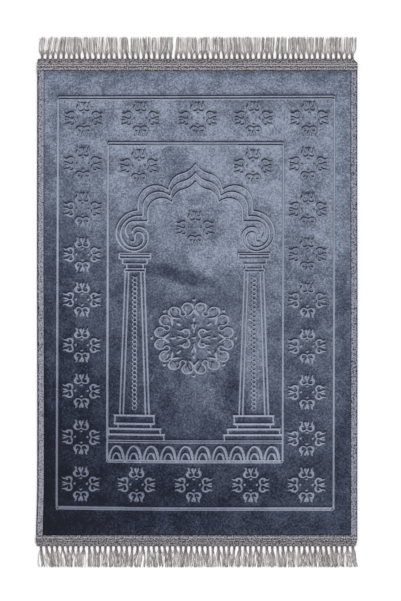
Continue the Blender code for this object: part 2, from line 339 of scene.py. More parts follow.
def press_column(pattern, side):
    """One column: a stepped capital, a tapering shaft with a string of beads, and a stepped foot."""
    middle = COLUMN_MIDDLE + side * COLUMN_APART
    for half, low, high, line in CAPITAL:
        for y in (low, high):
            pattern.press(straight((middle - half, y), (middle + half, y)), COLUMN_LINE)
        pattern.press_both(straight((half, low), (half, high)), COLUMN_LINE, middle)
        if line is not None:
            pattern.press(straight((middle - half, line), (middle + half, line)), COLUMN_LINE)
    for top, foot in SHAFT_LINES:
        pattern.press_both(straight((top, SHAFT[0]), (foot, SHAFT[1]), MOTIF_STEP), COLUMN_LINE, middle)
    for i in range(BEADS):
        pattern.press(oval((middle, BEAD_TOP - i * BEAD_PITCH), BEAD), BEAD_LINE)
    pattern.press(oval((middle, BEAD_TOP + BEAD_PITCH), BEAD, 200, 140), BEAD_LINE)
    for outer, inner, height in FOOT_BANDS:
        ends = (middle + side * outer, height), (middle - side * inner, height)
        pattern.press(straight(*ends), FOOT_BAND)
    for half, high, low, width in FOOT_SIDES:
        pattern.press_both(straight((half, low), (half, high)), width, middle)
    half, high, low, width = FOOT_STEP
    pattern.press(straight((middle - side * half, low), (middle - side * half, high)), width)


ARCADE_MIDDLE = -2.3
ARCADE_PITCH = 43.0
ARCADE_ARCHES = 10
ARCADE_TOP = (-345.8, -350.9)       # its double line
ARCADE_LINE = 4.8
ARCADE_BASE = -396.0
ARCADE_OVALS = (((18.0, 36.0), 7.6), ((9.6, 18.6), 6.6))     # radii and line width


def press_arcade(pattern):
    """The row of small double arches under the columns."""
    half, middle = FRAMES[1][0], FRAMES[1][1]
    for y in ARCADE_TOP:
        pattern.press(straight((middle - half, y), (middle + half, y)), ARCADE_LINE)
    for i in range(ARCADE_ARCHES):
        x = ARCADE_MIDDLE + (i - (ARCADE_ARCHES - 1) / 2) * ARCADE_PITCH
        for radii, width in ARCADE_OVALS:
            pattern.press(oval((x, ARCADE_BASE), radii, 0, 180), width)


# A palmette, root at the bottom: two scrolls about a tulip leaf.
SCROLL_START = (0.0, 5.4)
SCROLL_HEADING = 310
SCROLL = ((12.3, 50), (6.8, 80), (9.0, 50), (8.0, -85))
SCROLL_WIDTH = ((0.0, 4.8), (0.27, 6.0), (0.5, 7.6), (0.7, 8.0), (0.85, 6.2), (1.0, 3.2))
CURL = ((13.4, 14.8), (8.4, 11.2))
CURL_WIDTH = ((0.0, 7.0), (1.0, 3.8))
STEM = ((0.0, 5.2), (0.0, 14.6))
STEM_WIDTH = ((0.0, 4.2), (1.0, 5.2))
PETAL = ((1.0, 12.5), (2.2, 15.5), (2.9, 18.5), (3.3, 21.3), (3.8, 23.6))
PETAL_WIDTH = ((0.0, 4.4), (0.5, 6.8), (0.8, 6.0), (1.0, 3.4))


def press_leaf(pattern, lay):
    """The tulip leaf of a palmette. The lay carries its points to their place."""
    pattern.press(lay(straight(*STEM, MOTIF_STEP)), STEM_WIDTH)
    for side in (PETAL, mirrored(PETAL)):
        pattern.press(lay(side), PETAL_WIDTH)


def press_scrolls(pattern, lay, apart=0.0):
    """The two scrolls of a palmette, set further apart if wanted."""
    scroll = follow(SCROLL_START, SCROLL_HEADING, SCROLL, MOTIF_STEP)
    for points, widths in ((scroll, SCROLL_WIDTH), (straight(*CURL, MOTIF_STEP), CURL_WIDTH)):
        moved = [(x + apart, y) for x, y in points]
        for side in (moved, mirrored(moved)):
            pattern.press(lay(side), widths)


def press_mark(pattern, lay, out, across, along, width):
    """A short pressed mark, that far out."""
    pattern.press(lay(straight((-across / 2, out - along / 2), (across / 2, out + along / 2))), width)


def press_eyes(pattern, lay, across, out, width):
    """The rounds that fill a pair of scroll heads."""
    pattern.lit = EYE_LIT
    for x in (-across, across):
        pattern.press(lay([(x - 0.5, out), (x + 0.5, out)]), width)


def outward(middle, degrees, root=0.0, scale=1.0, stretch=(1.0, 1.0)):
    """A lay for a motif whose root is that far out from a middle, in one direction."""
    def lay(points):
        raised = [(x, y + root / scale) for x, y in points]
        return placed(raised, middle, degrees, scale, stretch)
    return lay


ROSETTE = (     # direction, how far out the palmette's root is, and its dot
    (0, 17.8, 13.8),
    (90, 21.8, 15.4),
    (180, 18.7, 13.9),
    (270, 21.3, 15.3),
)
ROSETTE_DOT = (2.6, 0.0, 6.2)       # across, along and width
ROSETTE_TOP = 457.0         # height of the top row, of the row at the foot and of those between
ROSETTE_FOOT = -455.4
ROSETTE_ROWS = (343.2, 229.8, 117.6, 4.9, -109.5, -224.3, -339.7)
ROSETTE_TOP_ROW = (-279.9, -137.9, 5.3, 144.6, 283.5)       # how far across the top row's are
ROSETTE_SIDE = 281.2        # from the middle line to the rosettes beside the panel
ROSETTE_MIDDLE = -1.3
ROSETTE_LEAN = 1.6          # how much further right than the middle ones a row that high would be
ROSETTE_NEAR = 142.3        # to the ones between those and the middle
ARCH_ROSETTES = ((-141.3, 338.2), (143.2, 337.8), (-0.8, 184.0))


def press_rosette(pattern, middle):
    """Four palmettes about a middle, with a dot at each root."""
    for degrees, root, dot in ROSETTE:
        lay = outward(middle, degrees, root)
        press_scrolls(pattern, lay)
        press_leaf(pattern, lay)
        press_mark(pattern, outward(middle, degrees), dot, *ROSETTE_DOT)


def rosette_middles():
    """The rosettes down both sides, across the top and the foot, and inside the panel."""
    rows = (*ROSETTE_ROWS, ROSETTE_FOOT)
    places = [(side * ROSETTE_SIDE, y) for y in rows for side in (-1, 1)]
    places += [(side * ROSETTE_NEAR, ROSETTE_FOOT) for side in (-1, 0, 1)]
    leaned = [(ROSETTE_MIDDLE + x + ROSETTE_LEAN * y / ROSETTE_TOP, y) for x, y in places]
    return leaned + [(x, ROSETTE_TOP) for x in ROSETTE_TOP_ROW] + list(ARCH_ROSETTES)


# The medallion: a ring of eight pairs of scroll heads, joined by small bays between the pairs.
MEDALLION = (-3.0, -89.8)
MEDALLION_STRETCH = (1.08, 0.98)
MEDALLION_SQUARE = 0.035    # how much further out its diagonals are
PAIRS = 8
RING_HEAD = 12.3            # radius of a head
RING_AT = (14.7, 77.2)      # middle of a head: aside from the pair's line, and out
BAY = 6.5                   # radius of the round bay between two pairs
RING_EYE = 18.6             # width of the shallow round that fills a head
SCROLL_EYE = (9.2, 8.0, 9.0)    # across, out and width of the one in a scroll at the heart
RING_ROUND = 20             # how far past the pair's line the outline runs, in degrees
RING_WIDTH = ((0.0, 5.0), (0.15, 5.4), (0.5, 6.2), (0.8, 6.8), (1.0, 4.0))
FORK = ((1.0, 72.5), (2.4, 69.2), (4.8, 65.0), (8.0, 60.8), (11.8, 57.0))
FORK_WIDTH = ((0.0, 5.0), (0.4, 8.0), (0.75, 7.4), (1.0, 3.6))
RING_DOT = (97.0, 3.2, 0.0, 7.8)    # how far out, across, along and width
SEED = (48.0, 0.0, 6.5, 7.8)
HEART = (10.0, 1.25, 1.5)    # root, scale and spread of the two pairs of scrolls at its heart
HEART_LEAVES = (            # direction, root and scale of the leaves between those
    (0, 7.6, 1.22),
    (90, 13.0, 1.14),
    (180, 7.6, 1.22),
    (270, 13.0, 1.14),
)
HEART_DOT = (1.0, 6.4, 0.0, 7.0)


def ring_head():
    """Half a pair: from the bay between two pairs round the head."""
    half_turn = math.radians(180 / PAIRS)
    out = Vector((math.sin(half_turn), math.cos(half_turn)))        # along the bay
    beside = Vector((-out.y, out.x))                                # from the bay to the head
    head = Vector(RING_AT)
    aside = head.dot(beside)
    further = math.sqrt((RING_HEAD + BAY) ** 2 - aside ** 2)        # from the bay's middle to the head's
    start = out * (head.dot(out) - further - BAY)
    turn = 90 + math.degrees(math.atan2(further, aside))
    heading = 270 - 180 / PAIRS
    return follow(tuple(start), heading - 90, ((BAY, -turn), (RING_HEAD, turn + 360 - heading + RING_ROUND)),
                  MOTIF_STEP)


def round_medallion(degrees):
    """A lay for one direction of the ring, whose diagonals stand further out."""
    def lay(points):
        turned = placed(points, (0.0, 0.0), degrees)
        pushed = []
        for x, y in turned:
            grown = 1 + MEDALLION_SQUARE * math.sin(2 * math.atan2(y, x)) ** 2
            pushed.append((x * grown, y * grown))
        return placed(pushed, MEDALLION, 0.0, 1.0, MEDALLION_STRETCH)
    return lay


def press_medallion(pattern):
    """The round medallion in the middle of the panel."""
    head = ring_head()
    for pair in range(PAIRS):
        degrees = 360 / PAIRS * pair
        lay = round_medallion(degrees)
        pattern.lit = RING_LIT
        for points, widths in ((head, RING_WIDTH), (FORK, FORK_WIDTH)):
            for side in (points, mirrored(points)):
                pattern.press(lay(side), widths)
        press_mark(pattern, outward(MEDALLION, degrees, stretch=MEDALLION_STRETCH), *RING_DOT)
        press_mark(pattern, lay, *SEED)
        press_eyes(pattern, lay, *RING_AT, RING_EYE)
    root, scale, spread = HEART
    for degrees in (90, 270):
        lay = outward(MEDALLION, degrees, root, scale)
        pattern.lit = RING_LIT
        press_scrolls(pattern, lay, spread)
        press_eyes(pattern, lay, SCROLL_EYE[0] + spread, SCROLL_EYE[1], SCROLL_EYE[2])
    pattern.lit = RING_LIT
    for degrees, root, scale in HEART_LEAVES:
        press_leaf(pattern, outward(MEDALLION, degrees, root, scale))
    press_mark(pattern, outward(MEDALLION, 0), *HEART_DOT)


def whole_pattern():
    pattern = Pattern()
    for sizes in FRAMES:
        press_frame(pattern, *sizes)
    press_arch(pattern)
    for side in (-1, 1):
        press_column(pattern, side)
    press_arcade(pattern)
    pattern.lit = MOTIF_LIT
    for middle in rosette_middles():
        press_rosette(pattern, middle)
    press_medallion(pattern)
    return pattern


def wall_width(half, aside):
    """Width of a groove's wall, in metres, for its half width and the way from its middle to that wall.

    The nap leans down the rug, so the wall across the top of a groove is the broader one.
    """
    return min(WALL * MM, half * WALL_SHARE) * (1 + WALL_LEAN * aside[1])


class PressedDepth:
    """Says how deep the pattern presses a place, from the distance to the nearest line's middle."""

    STEP = 1.2 * MM         # spacing of the points kept along each line

    def __init__(self, lines):
        self.places = []
        self.halves = []
        self.lit = []
        self.runs_on = []   # whether a point's line goes on to the next point
        for line in lines:
            self.keep(*line)
        self.reach = max(self.halves)
        self.tree = kdtree.KDTree(len(self.places))
        for i, (x, y) in enumerate(self.places):
            self.tree.insert((x, y, 0.0), i)
        self.tree.balance()

    def keep(self, points, halves, lit):
        for i in range(len(points) - 1):
            (x1, y1), (x2, y2) = points[i], points[i + 1]
            count = max(1, math.ceil(math.hypot(x2 - x1, y2 - y1) * MM / self.STEP))
            for k in range(count):
                part = k / count
                self.places.append(((x1 + (x2 - x1) * part) * MM, (y1 + (y2 - y1) * part) * MM))
                self.halves.append((halves[i] + (halves[i + 1] - halves[i]) * part) * MM)
                self.runs_on.append(True)
        self.places.append((points[-1][0] * MM, points[-1][1] * MM))
        self.halves.append(halves[-1] * MM)
        self.runs_on.append(False)
        self.lit += [lit] * (len(self.places) - len(self.lit))

    def nearness(self, x, y, i):
        """How far in over the wall of the stretch from point i: 0 at its edge, 1 at its foot."""
        (x1, y1), (x2, y2) = self.places[i], self.places[i + 1]
        along_x, along_y = x2 - x1, y2 - y1
        length = along_x * along_x + along_y * along_y
        part = ((x - x1) * along_x + (y - y1) * along_y) / length if length > 0 else 0.0
        part = min(max(part, 0.0), 1.0)
        half = self.halves[i] + (self.halves[i + 1] - self.halves[i]) * part
        aside = Vector((x - x1 - along_x * part, y - y1 - along_y * part))
        return (half - aside.length) / wall_width(half, aside.normalized())

    def at(self, x, y):
        """How far a place is pressed, 0 on the pile and 1 on a groove's floor, and how lit it is."""
        best, lit = 0.0, LINE_LIT
        for _, i, _ in self.tree.find_range((x, y, 0.0), self.reach + self.STEP):
            for k in (i - 1, i):
                if k >= 0 and self.runs_on[k]:
                    near = min(1.0, self.nearness(x, y, k))
                    if near > best or (near == best and self.lit[k] > lit):
                        best, lit = near, self.lit[k]
        return best, lit

    def clearance(self, x, y):
        """Distance from a place to the edge of the nearest groove."""
        _, i, distance = self.tree.find((x, y, 0.0))
        return distance - self.halves[i]


# --- Building meshes ----------------------------------------------------------------------------
VELVET_EDGE = 70            # degrees between faces from which an edge looks sharp
TRIM_EDGE = 60


def add_piece(name, points, faces, materials, face_materials=None, values=None, sharp=None):
    """Links one mesh object, smooth all over unless a sharp angle is given."""
    mesh = bpy.data.meshes.new(name)
    mesh.from_pydata(points, [], faces)
    for mat in materials:
        mesh.materials.append(mat)
    if face_materials:
        mesh.polygons.foreach_set("material_index", face_materials)
    for attribute, numbers in (values or {}).items():
        layer = mesh.attributes.new(attribute, "FLOAT", "POINT")
        layer.data.foreach_set("value", numbers)
    mesh.shade_smooth()
    if sharp:
        mesh.set_sharp_from_angle(angle=math.radians(sharp))
    piece = bpy.data.objects.new(name, mesh)
    bpy.context.scene.collection.objects.link(piece)
    return piece


class Mesh:
    """Points, faces and point values gathered piece by piece."""

    def __init__(self, *names):
        self.points = []
        self.faces = []
        self.values = {name: [] for name in names}

    def add(self, point, *numbers):
        self.points.append(point)
        for name, number in zip(self.values, numbers):
            self.values[name].append(number)
        return len(self.points) - 1

    def sweep(self, rings):
        """Joins rings of point numbers, and caps both ends."""
        count = len(rings[0])
        for near, far in zip(rings, rings[1:]):
            for i in range(count):
                j = (i + 1) % count
                self.faces.append((near[i], near[j], far[j], far[i]))
        self.faces.append(tuple(reversed(rings[0])))
        self.faces.append(tuple(rings[-1]))

    def piece(self, name, materials, sharp=None):
        return add_piece(name, self.points, self.faces, materials, None, self.values, sharp)


# --- Velvet -------------------------------------------------------------------------------------
EDGE_STEP = 0.007           # spacing of points along the cloth's outline
FIELD_STEP = 0.0085         # spacing of points on the plain pile
FIELD_CLEAR = 0.0022        # the plain pile's points stay this far off a groove
POINTS_APART = 0.00045      # two points are never closer
FACE_ROWS = (0.008, 0.0163, 0.0172, 0.0184, 0.0193, 0.0225)     # in from each fold
BACK_ROWS = (0.0123, 0.0138, 0.0153)
END_ROWS = (0.0003, 0.0012, 0.0024, 0.0033, 0.0065)             # in from each braid's inner edge
BACK_STEP = 0.045
UNEVEN = 0.00022            # slow rise and fall of the pile
UNEVEN_SIZE = 0.11
VELVET_SEED = 5
FIELD_STRAY = 0.3           # how far the plain pile's points stray, as a share of their spacing
LOOP_CLOSED = 1e-6          # ends this near each other, in millimetres, make a line a loop
END_POINTS = (-0.5, 0.0, 0.5)       # points round a groove's end, across it, as shares of its half width


def pile_height(x, y, pressed):
    """The pile's height: full in the field, pressed by the pattern, thin inside the trims."""
    slow = noise.noise(Vector((x / UNEVEN_SIZE, y / UNEVEN_SIZE, 0.0)))
    height = PILE_TOP - UNEVEN * (0.5 + 0.5 * slow) - GROOVE_DEPTH * pressed
    rise_side = smooth((side_distance(x, y) - SIDE_TAPE_FACE - GAP) / PILE_SHOULDER)
    rise_end = smooth((min(TOP_BRAID_INNER - y, y - LOWER_BRAID_INNER) - GAP) / PILE_SHOULDER)
    at_side = SIDE_CLOTH_TOP + (height - SIDE_CLOTH_TOP) * rise_side
    under_braid = BRAID_UNDER - GAP
    at_end = under_braid + (height - under_braid) * rise_end
    return min(at_side, at_end)


def beside_tape(x, y):
    """Whether a point is on the first row beside a side tape, where the velvet takes the tape's painted
    shadow.
    """
    return side_distance(x, y) < (FACE_ROWS[2] + FACE_ROWS[3]) / 2


def back_height(x, y):
    """Flat on the floor, lifted by the tape folded under each long edge."""
    lift = 1 - smooth((side_distance(x, y) - SIDE_TAPE_BACK - GAP) / PILE_SHOULDER)
    return SIDE_CLOTH_BOTTOM * lift


def cloth_outline():
    """The cut edge of the cloth, anticlockwise from its lower left corner."""
    low, high = CLOTH_LOW.y, CLOTH_HIGH.y
    rows = math.ceil((high - low) / EDGE_STEP)
    ys = [low + (high - low) * i / rows for i in range(rows + 1)]
    left = [(left_side(y) + CLOTH_EDGE, y) for y in ys]
    right = [(right_side(y) - CLOTH_EDGE, y) for y in ys]
    count = math.ceil((right[0][0] - left[0][0]) / EDGE_STEP)
    foot = [(left[0][0] + (right[0][0] - left[0][0]) * i / count, low) for i in range(1, count)]
    top = [(right[-1][0] + (left[-1][0] - right[-1][0]) * i / count, high) for i in range(1, count)]
    return [left[0]] + foot + right + top + list(reversed(left[1:]))


def spaced(first, last, step):
    """Even places between two others, no further apart than a step."""
    count = math.ceil((last - first) / step)
    return [first + (last - first) * (i + 0.5) / count for i in range(count)]


def side_rows(distances, step):
    """Points at set distances in from both folds."""
    ys = spaced(CLOTH_LOW.y, CLOTH_HIGH.y, step)
    points = [(left_side(y) + d, y) for y in ys for d in distances]
    return points + [(right_side(y) - d, y) for y in ys for d in distances]


def end_rows(step):
    """Points at set distances in from both braids."""
    xs = spaced(-HALF_WIDTH + SIDE_TAPE_FACE, HALF_WIDTH - SIDE_TAPE_FACE, step)
    points = [(x, TOP_BRAID_INNER - d) for x in xs for d in END_ROWS]
    return points + [(x, LOWER_BRAID_INNER + d) for x in xs for d in END_ROWS]


def groove_rows(points, halves):
    """Points along both edges of a groove and both sides of its floor, with rounded ends."""
    rows = []
    last = len(points) - 1
    loop = math.dist(points[0], points[last]) < LOOP_CLOSED
    for i, (x, y) in enumerate(points):
        before = points[i - 1] if i > 0 else (points[last - 1] if loop else points[0])
        after = points[i + 1] if i < last else (points[1] if loop else points[last])
        along = Vector((after[0] - before[0], after[1] - before[1])).normalized()
        across = Vector((-along.y, along.x))
        for aside in (-across, across):
            foot = halves[i] - wall_width(halves[i] * MM, aside) / MM
            for away in (foot, halves[i]):
                rows.append((x + aside.x * away, y + aside.y * away))
        if loop or 0 < i < last:
            continue
        outward = along if i == last else -along
        for aside in END_POINTS:
            ahead = math.sqrt(1 - aside * aside)
            place = outward * ahead + across * aside
            rows.append((x + place.x * halves[i], y + place.y * halves[i]))
    return [(x * MM, y * MM) for x, y in rows]


def field_points(depth, rng):
    """Scattered points on the plain pile between the grooves."""
    low, high = LOWER_BRAID_INNER + END_ROWS[-1], TOP_BRAID_INNER - END_ROWS[-1]
    rows = int((high - low) / FIELD_STEP)
    across = int(2 * HALF_WIDTH / FIELD_STEP)
    points = []
    for row in range(rows):
        for col in range(across):
            x = -HALF_WIDTH + (col + 0.5 + 0.5 * (row % 2)) * FIELD_STEP
            y = low + (row + 0.5) * FIELD_STEP
            x += FIELD_STEP * FIELD_STRAY * (rng.random() - 0.5)
            y += FIELD_STEP * FIELD_STRAY * (rng.random() - 0.5)
            if side_distance(x, y) > FACE_ROWS[-1] + FIELD_CLEAR and depth.clearance(x, y) > FIELD_CLEAR:
                points.append((x, y))
    return points


def thinned(kept, points):
    """Adds the points that aren't right beside one that is there already."""
    taken = {}
    cell = POINTS_APART

    def crowded(x, y):
        col, row = math.floor(x / cell), math.floor(y / cell)
        return any(math.dist((x, y), other) < cell
                   for i in (-1, 0, 1) for k in (-1, 0, 1)
                   for other in taken.get((col + i, row + k), ()))

    result = []
    for group, always in ((kept, True), (points, False)):
        for x, y in group:
            if always or not crowded(x, y):
                taken.setdefault((math.floor(x / cell), math.floor(y / cell)), []).append((x, y))
                result.append((x, y))
    return result


def triangulated(points, outline):
    """Triangles over the points inside the outline, which comes first among them."""
    ring = list(range(len(outline)))
    flat = [Vector(p) for p in points]
    found, _, triangles, sources, _, _ = geometry.delaunay_2d_cdt(flat, [], [ring], 1, 1e-7, True)
    number = {source: i for i, origin in enumerate(sources) for source in origin}
    place = {number[i]: i for i in ring}

    def outside(triangle):
        """Outside the outline a triangle meets its points in the reverse order."""
        if any(i not in place for i in triangle):
            return False
        a, b, c = (place[i] for i in triangle)
        return a > b > c or b > c > a or c > a > b

    return found, [t for t in triangles if not outside(t)], [number[i] for i in ring]


def build_velvet(pile, backing):
    """The velvet as one closed cloth: a pressed pile on top and a plain woven back."""
    pattern = whole_pattern()
    depth = PressedDepth(pattern.lines)
    rng = random.Random(VELVET_SEED)
    outline = cloth_outline()
    grooves = [p for points, halves, _ in pattern.lines for p in groove_rows(points, halves)]
    face = thinned(outline, side_rows(FACE_ROWS, EDGE_STEP) + end_rows(EDGE_STEP)
                   + grooves + field_points(depth, rng))
    back = outline + side_rows(BACK_ROWS, 2 * EDGE_STEP) + back_points()
    cloth = Mesh("pressed", "lit", "beside_tape")
    tops, top_faces, top_ring = triangulated(face, outline)
    for x, y in tops:
        pressed, lit = depth.at(x, y)
        cloth.add((x, y, pile_height(x, y, pressed)), pressed, lit, float(beside_tape(x, y)))
    cloth.faces += [tuple(t) for t in top_faces]
    first = len(cloth.points)
    backs, back_faces, back_ring = triangulated(back, outline)
    for x, y in backs:
        cloth.add((x, y, back_height(x, y)), 0.0, 0.0, 0.0)
    cloth.faces += [tuple(first + i for i in reversed(t)) for t in back_faces]
    for i in range(len(outline)):
        j = (i + 1) % len(outline)
        cloth.faces.append((top_ring[j], top_ring[i], first + back_ring[i], first + back_ring[j]))
    sides = [0] * len(top_faces) + [1] * (len(cloth.faces) - len(top_faces))
    return add_piece("velvet_face", cloth.points, cloth.faces, [pile, backing], sides, cloth.values,
                     VELVET_EDGE)


def back_points():
    """A wide grid on the flat back."""
    points = []
    rows = int((CLOTH_HIGH.y - CLOTH_LOW.y) / BACK_STEP)
    across = int(2 * HALF_WIDTH / BACK_STEP)
    for row in range(1, rows):
        for col in range(across + 1):
            x = (col - across / 2) * BACK_STEP
            y = CLOTH_LOW.y + row * BACK_STEP
            if side_distance(x, y) > BACK_ROWS[-1] + FIELD_CLEAR:
                points.append((x, y))
    return points


# --- Side tapes ---------------------------------------------------------------------------------
TAPE_ROW = 0.0019           # spacing of points along the tape
TAPE_COL = 0.00125          # and across it
TAPE_RELIEF = 0.00016       # how far its slanting threads stand out
TAPE_CHEVRON = 0.0054       # length of one slanting thread's repeat
TAPE_BAND = 0.0048          # width of a band before the slant turns back
CORD = (0.0140, 0.0016)     # the firm cord near its inner edge: distance in, half width
LEFT_TONES = (              # distance in from the fold, how light the tape is there; the left fold is darker than the right by painted shade
    (0.0, 0.0), (0.0026, 0.0), (0.0038, 0.50), (0.0052, 0.88), (0.0066, 0.90), (0.0085, 0.76),
    (0.0105, 0.70), (0.0130, 0.80), (0.0150, 0.94), (0.0165, 0.98))
RIGHT_TONES = (
    (0.0, 0.10), (0.0022, 0.12), (0.0036, 0.55), (0.0054, 0.82), (0.0078, 0.62), (0.0104, 0.62),
    (0.0130, 0.82), (0.0152, 0.60), (0.0165, 0.45))


def tape_section():
    """The outer side of the folded tape as (inward, height, way the surface faces), then its inner side."""
    half = SIDE_FACE_TOP / 2
    back = int((SIDE_TAPE_BACK - half) / TAPE_COL)
    face = int((SIDE_TAPE_FACE - half) / TAPE_COL)
    outer = [(SIDE_TAPE_BACK - (SIDE_TAPE_BACK - half) * i / back, 0.0, (0.0, -1.0)) for i in range(back)]
    for degrees in range(-90, 91, 30):
        a = math.radians(degrees)
        outer.append((half * (1 - math.cos(a)), half + half * math.sin(a), (-math.cos(a), math.sin(a))))
    outer += [(half + (SIDE_TAPE_FACE - half) * i / face, SIDE_FACE_TOP, (0.0, 1.0))
              for i in range(1, face + 1)]
    tight = half - SIDE_TAPE
    inner = [(SIDE_TAPE_FACE, SIDE_FACE_BOTTOM)]
    for degrees in (90, 45, 0, -45, -90):
        a = math.radians(degrees)
        inner.append((SIDE_TAPE + tight * (1 - math.cos(a)), half + tight * math.sin(a)))
    inner.append((SIDE_TAPE_BACK, SIDE_TAPE))
    return outer, inner


def build_tape(name, side, way, tones, mat):
    """One side tape with its slanting threads and the cord along its inner edge."""
    outer, inner = tape_section()
    count = math.ceil((CLOTH_HIGH.y - CLOTH_LOW.y) / TAPE_ROW)
    tape = Mesh("thread", "cord", "tone")
    rings = []
    for row in range(count + 1):
        y = CLOTH_LOW.y + (CLOTH_HIGH.y - CLOTH_LOW.y) * row / count
        fold = side(y)
        ring = []
        arc = 0.0
        last = outer[0]
        for inward, height, facing in outer:
            arc += math.dist(last[:2], (inward, height))
            last = (inward, height)
            slant = abs((arc / TAPE_BAND) % 2 - 1) * TAPE_BAND
            thread = 0.5 + 0.5 * math.cos(2 * math.pi * (y + slant) / TAPE_CHEVRON)
            cord = smooth(1.3 * (1 - abs(CORD[0] - inward) / CORD[1])) if facing[1] > 0.9 else 0.0
            sunk = TAPE_RELIEF * (1 - max(thread * (1 - cord), cord))
            place = (fold + way * (inward - facing[0] * sunk), y, height - facing[1] * sunk)
            ring.append(tape.add(place, thread, cord, read_off(tones, inward)))
        ring += [tape.add((fold + way * inward, y, height), 0.0, 0.0, 0.3) for inward, height in inner]
        rings.append(ring if way > 0 else list(reversed(ring)))
    tape.sweep(rings)
    return tape.piece(name, [mat], TRIM_EDGE)


# --- End braids ---------------------------------------------------------------------------------
BRAID_COL = 0.0014          # spacing of points along the braid
BRAID_ROW = 0.0007          # and across it
STITCH = 0.0042             # length of one stitch along a rib
STITCH_RELIEF = 0.00022
STITCH_SLANT = 1.2
STITCH_ON_GROUND = 0.4      # share of that relief between the ribs
LIP_HEIGHTS = (0.0, 0.0018, 0.0036, 0.0048)     # points up the lip, and then round its bend, in degrees
LIP_BEND = (25, 55)
LIP_TIGHT = 1.5             # how much tighter the bend is across than up
TOP_RIBS = ((0.0010, 0.0014), (0.0056, 0.0014), (0.0143, 0.0034))      # distance in, half width
LOWER_RIBS = ((0.0010, 0.0014), (0.0050, 0.0012), (0.0083, 0.0014))
TOP_TONES = (               # distance in from the lip, how light the braid is there; it darkens to its inner edge in painted shade
    (0.0, 0.68), (0.0008, 0.92), (0.0020, 0.50), (0.0028, 0.0), (0.0042, 0.0), (0.0051, 0.90),
    (0.0058, 1.25), (0.0068, 0.62), (0.0080, 0.24), (0.0105, 0.06), (0.0122, 0.34), (0.0140, 0.56),
    (0.0158, 0.60), (0.0172, 0.30), (0.0185, 0.0))
LOWER_TONES = (
    (0.0, 0.40), (0.0012, 0.50), (0.0030, 0.28), (0.0058, 0.18), (0.0070, 0.26), (0.0085, 0.78),
    (0.0100, 0.42), (0.0112, 0.28), (0.0130, 0.19), (0.0145, 0.07))


def rib_at(ribs, inward):
    """How much of a rib stands at a distance in."""
    return max(smooth(1.25 * (1 - abs(inward - middle) / half)) for middle, half in ribs)


def build_braid(end, mat):
    """One end braid: ribs of slanting stitches on a flat ground, and a lip turned down."""
    way = -end.way      # inwards
    width = abs(end.inner - end.lip)
    across = int((width - BRAID) / BRAID_ROW)
    count = math.ceil(2 * HALF_WIDTH / BRAID_COL)
    ground = BRAID_TOP - RIB_DEPTH
    profile = [(0.0, height) for height in LIP_HEIGHTS]
    profile += [(BRAID * (1 - math.cos(a)) / LIP_TIGHT, BRAID_TOP - BRAID + (BRAID - RIB_DEPTH) * math.sin(a))
                for a in map(math.radians, LIP_BEND)]
    profile += [(BRAID + (width - BRAID) * i / across, None) for i in range(across + 1)]
    under = [(width, BRAID_UNDER), (BRAID, BRAID_UNDER), (BRAID, 0.0)]
    braid = Mesh("stitch", "tone")
    rings = []
    for col in range(count + 1):
        ring = []
        for inward, height in profile + under:
            y = end.lip + way * inward
            left, right = left_side(y), right_side(y) - end.short
            x = left + (right - left) * col / count
            if len(ring) >= len(profile):
                ring.append(braid.add((x, y, height), 0.0, 0.2))
                continue
            rib = rib_at(end.ribs, inward)
            stitch = 0.5 + 0.5 * math.cos(2 * math.pi * (x + way * inward * STITCH_SLANT) / STITCH)
            if height is None:
                relief = STITCH_RELIEF * (STITCH_ON_GROUND + (1 - STITCH_ON_GROUND) * rib)
                height = ground + RIB_DEPTH * rib - relief * (1 - stitch)
            ring.append(braid.add((x, y, height), stitch, read_off(end.tones, inward)))
        rings.append(ring if way < 0 else list(reversed(ring)))
    braid.sweep(rings)
    return braid.piece(f"braid_{end.name}_ribbed", [mat], TRIM_EDGE)


# --- Knotted rows -------------------------------------------------------------------------------
NET_CORD = 0.00072          # radius of the cords that cross over the row
NET_SIDES = 5
NET_STEPS = 8               # points along one crossing
NET_LIFT = 0.00025          # rise and fall of a cord as it crosses the other
NET_SUNK = 0.0008           # from the row's top down to the cords' middles
NETS = ((0.0010, 0.0052), (0.0046, 0.0090))     # where each crossing pair swings: nearest, furthest
TOP_KNOT_TONES = (0.62, 0.24, 0.08)     # how light the inner and the outer pair are, and the knots
LOWER_KNOT_TONES = (0.72, 0.66, 0.42)
KNOT = (0.0034, 0.0026, 0.0014)     # half size of a knot: across, out, up
KNOT_OUT = 0.0018           # from a knot's middle to the row's outer edge
WRAPS = 3                   # turns of yarn that show on a knot
WRAP_DEPTH = 0.12
KNOT_POINTS = 12            # along a knot and round it
KNOT_BLUNT = 0.04           # how blunt its ends are, as a share of its thickness
KNOT_LOW = 0.00005          # its lowest points stay this far off the floor
KNOT_SIZES = (0.92, 0.14)   # the smallest, and how much larger a knot can be
KNOT_STRAY = 0.0004         # how far aside a knot can sit
KNOT_TONE_STRAY = 0.2       # and how much lighter it can be
FOOT_TONE = 0.1
SLAB_COL = 0.0034
SLAB_TOP = (                # share of the row's width, and how far the foot is sunk there
    (0.0, 0.0009), (0.3, 0.0010), (0.6, 0.0010), (0.8, 0.0010), (0.92, 0.0011), (1.0, 0.0016))
# How far a row's left and its right end are cut back, and how late: 1 is a slant.
TOP_CORNERS = ((KNOT_CORNER / 2, 4.0), (0.0120, 1.0))
LOWER_CORNERS = ((KNOT_CORNER / 2, 1.6), (KNOT_CORNER / 2, 1.6))
TOP_TUFTS_IN = (0.0022, 0.0030)     # how much further in than the rows' ends the tufts begin and stop
LOWER_TUFTS_IN = (0.0022, 0.0)


def row_top(out, knots):
    """Height of a knotted row, which sinks from the braid towards the floor."""
    high = BRAID_TOP - BRAID
    return high + (KNOT_THICK - high) * out / knots


def row_sides(end):
    """X of both ends of the braid that a knotted row hangs from."""
    return left_side(end.lip), right_side(end.lip) - end.short


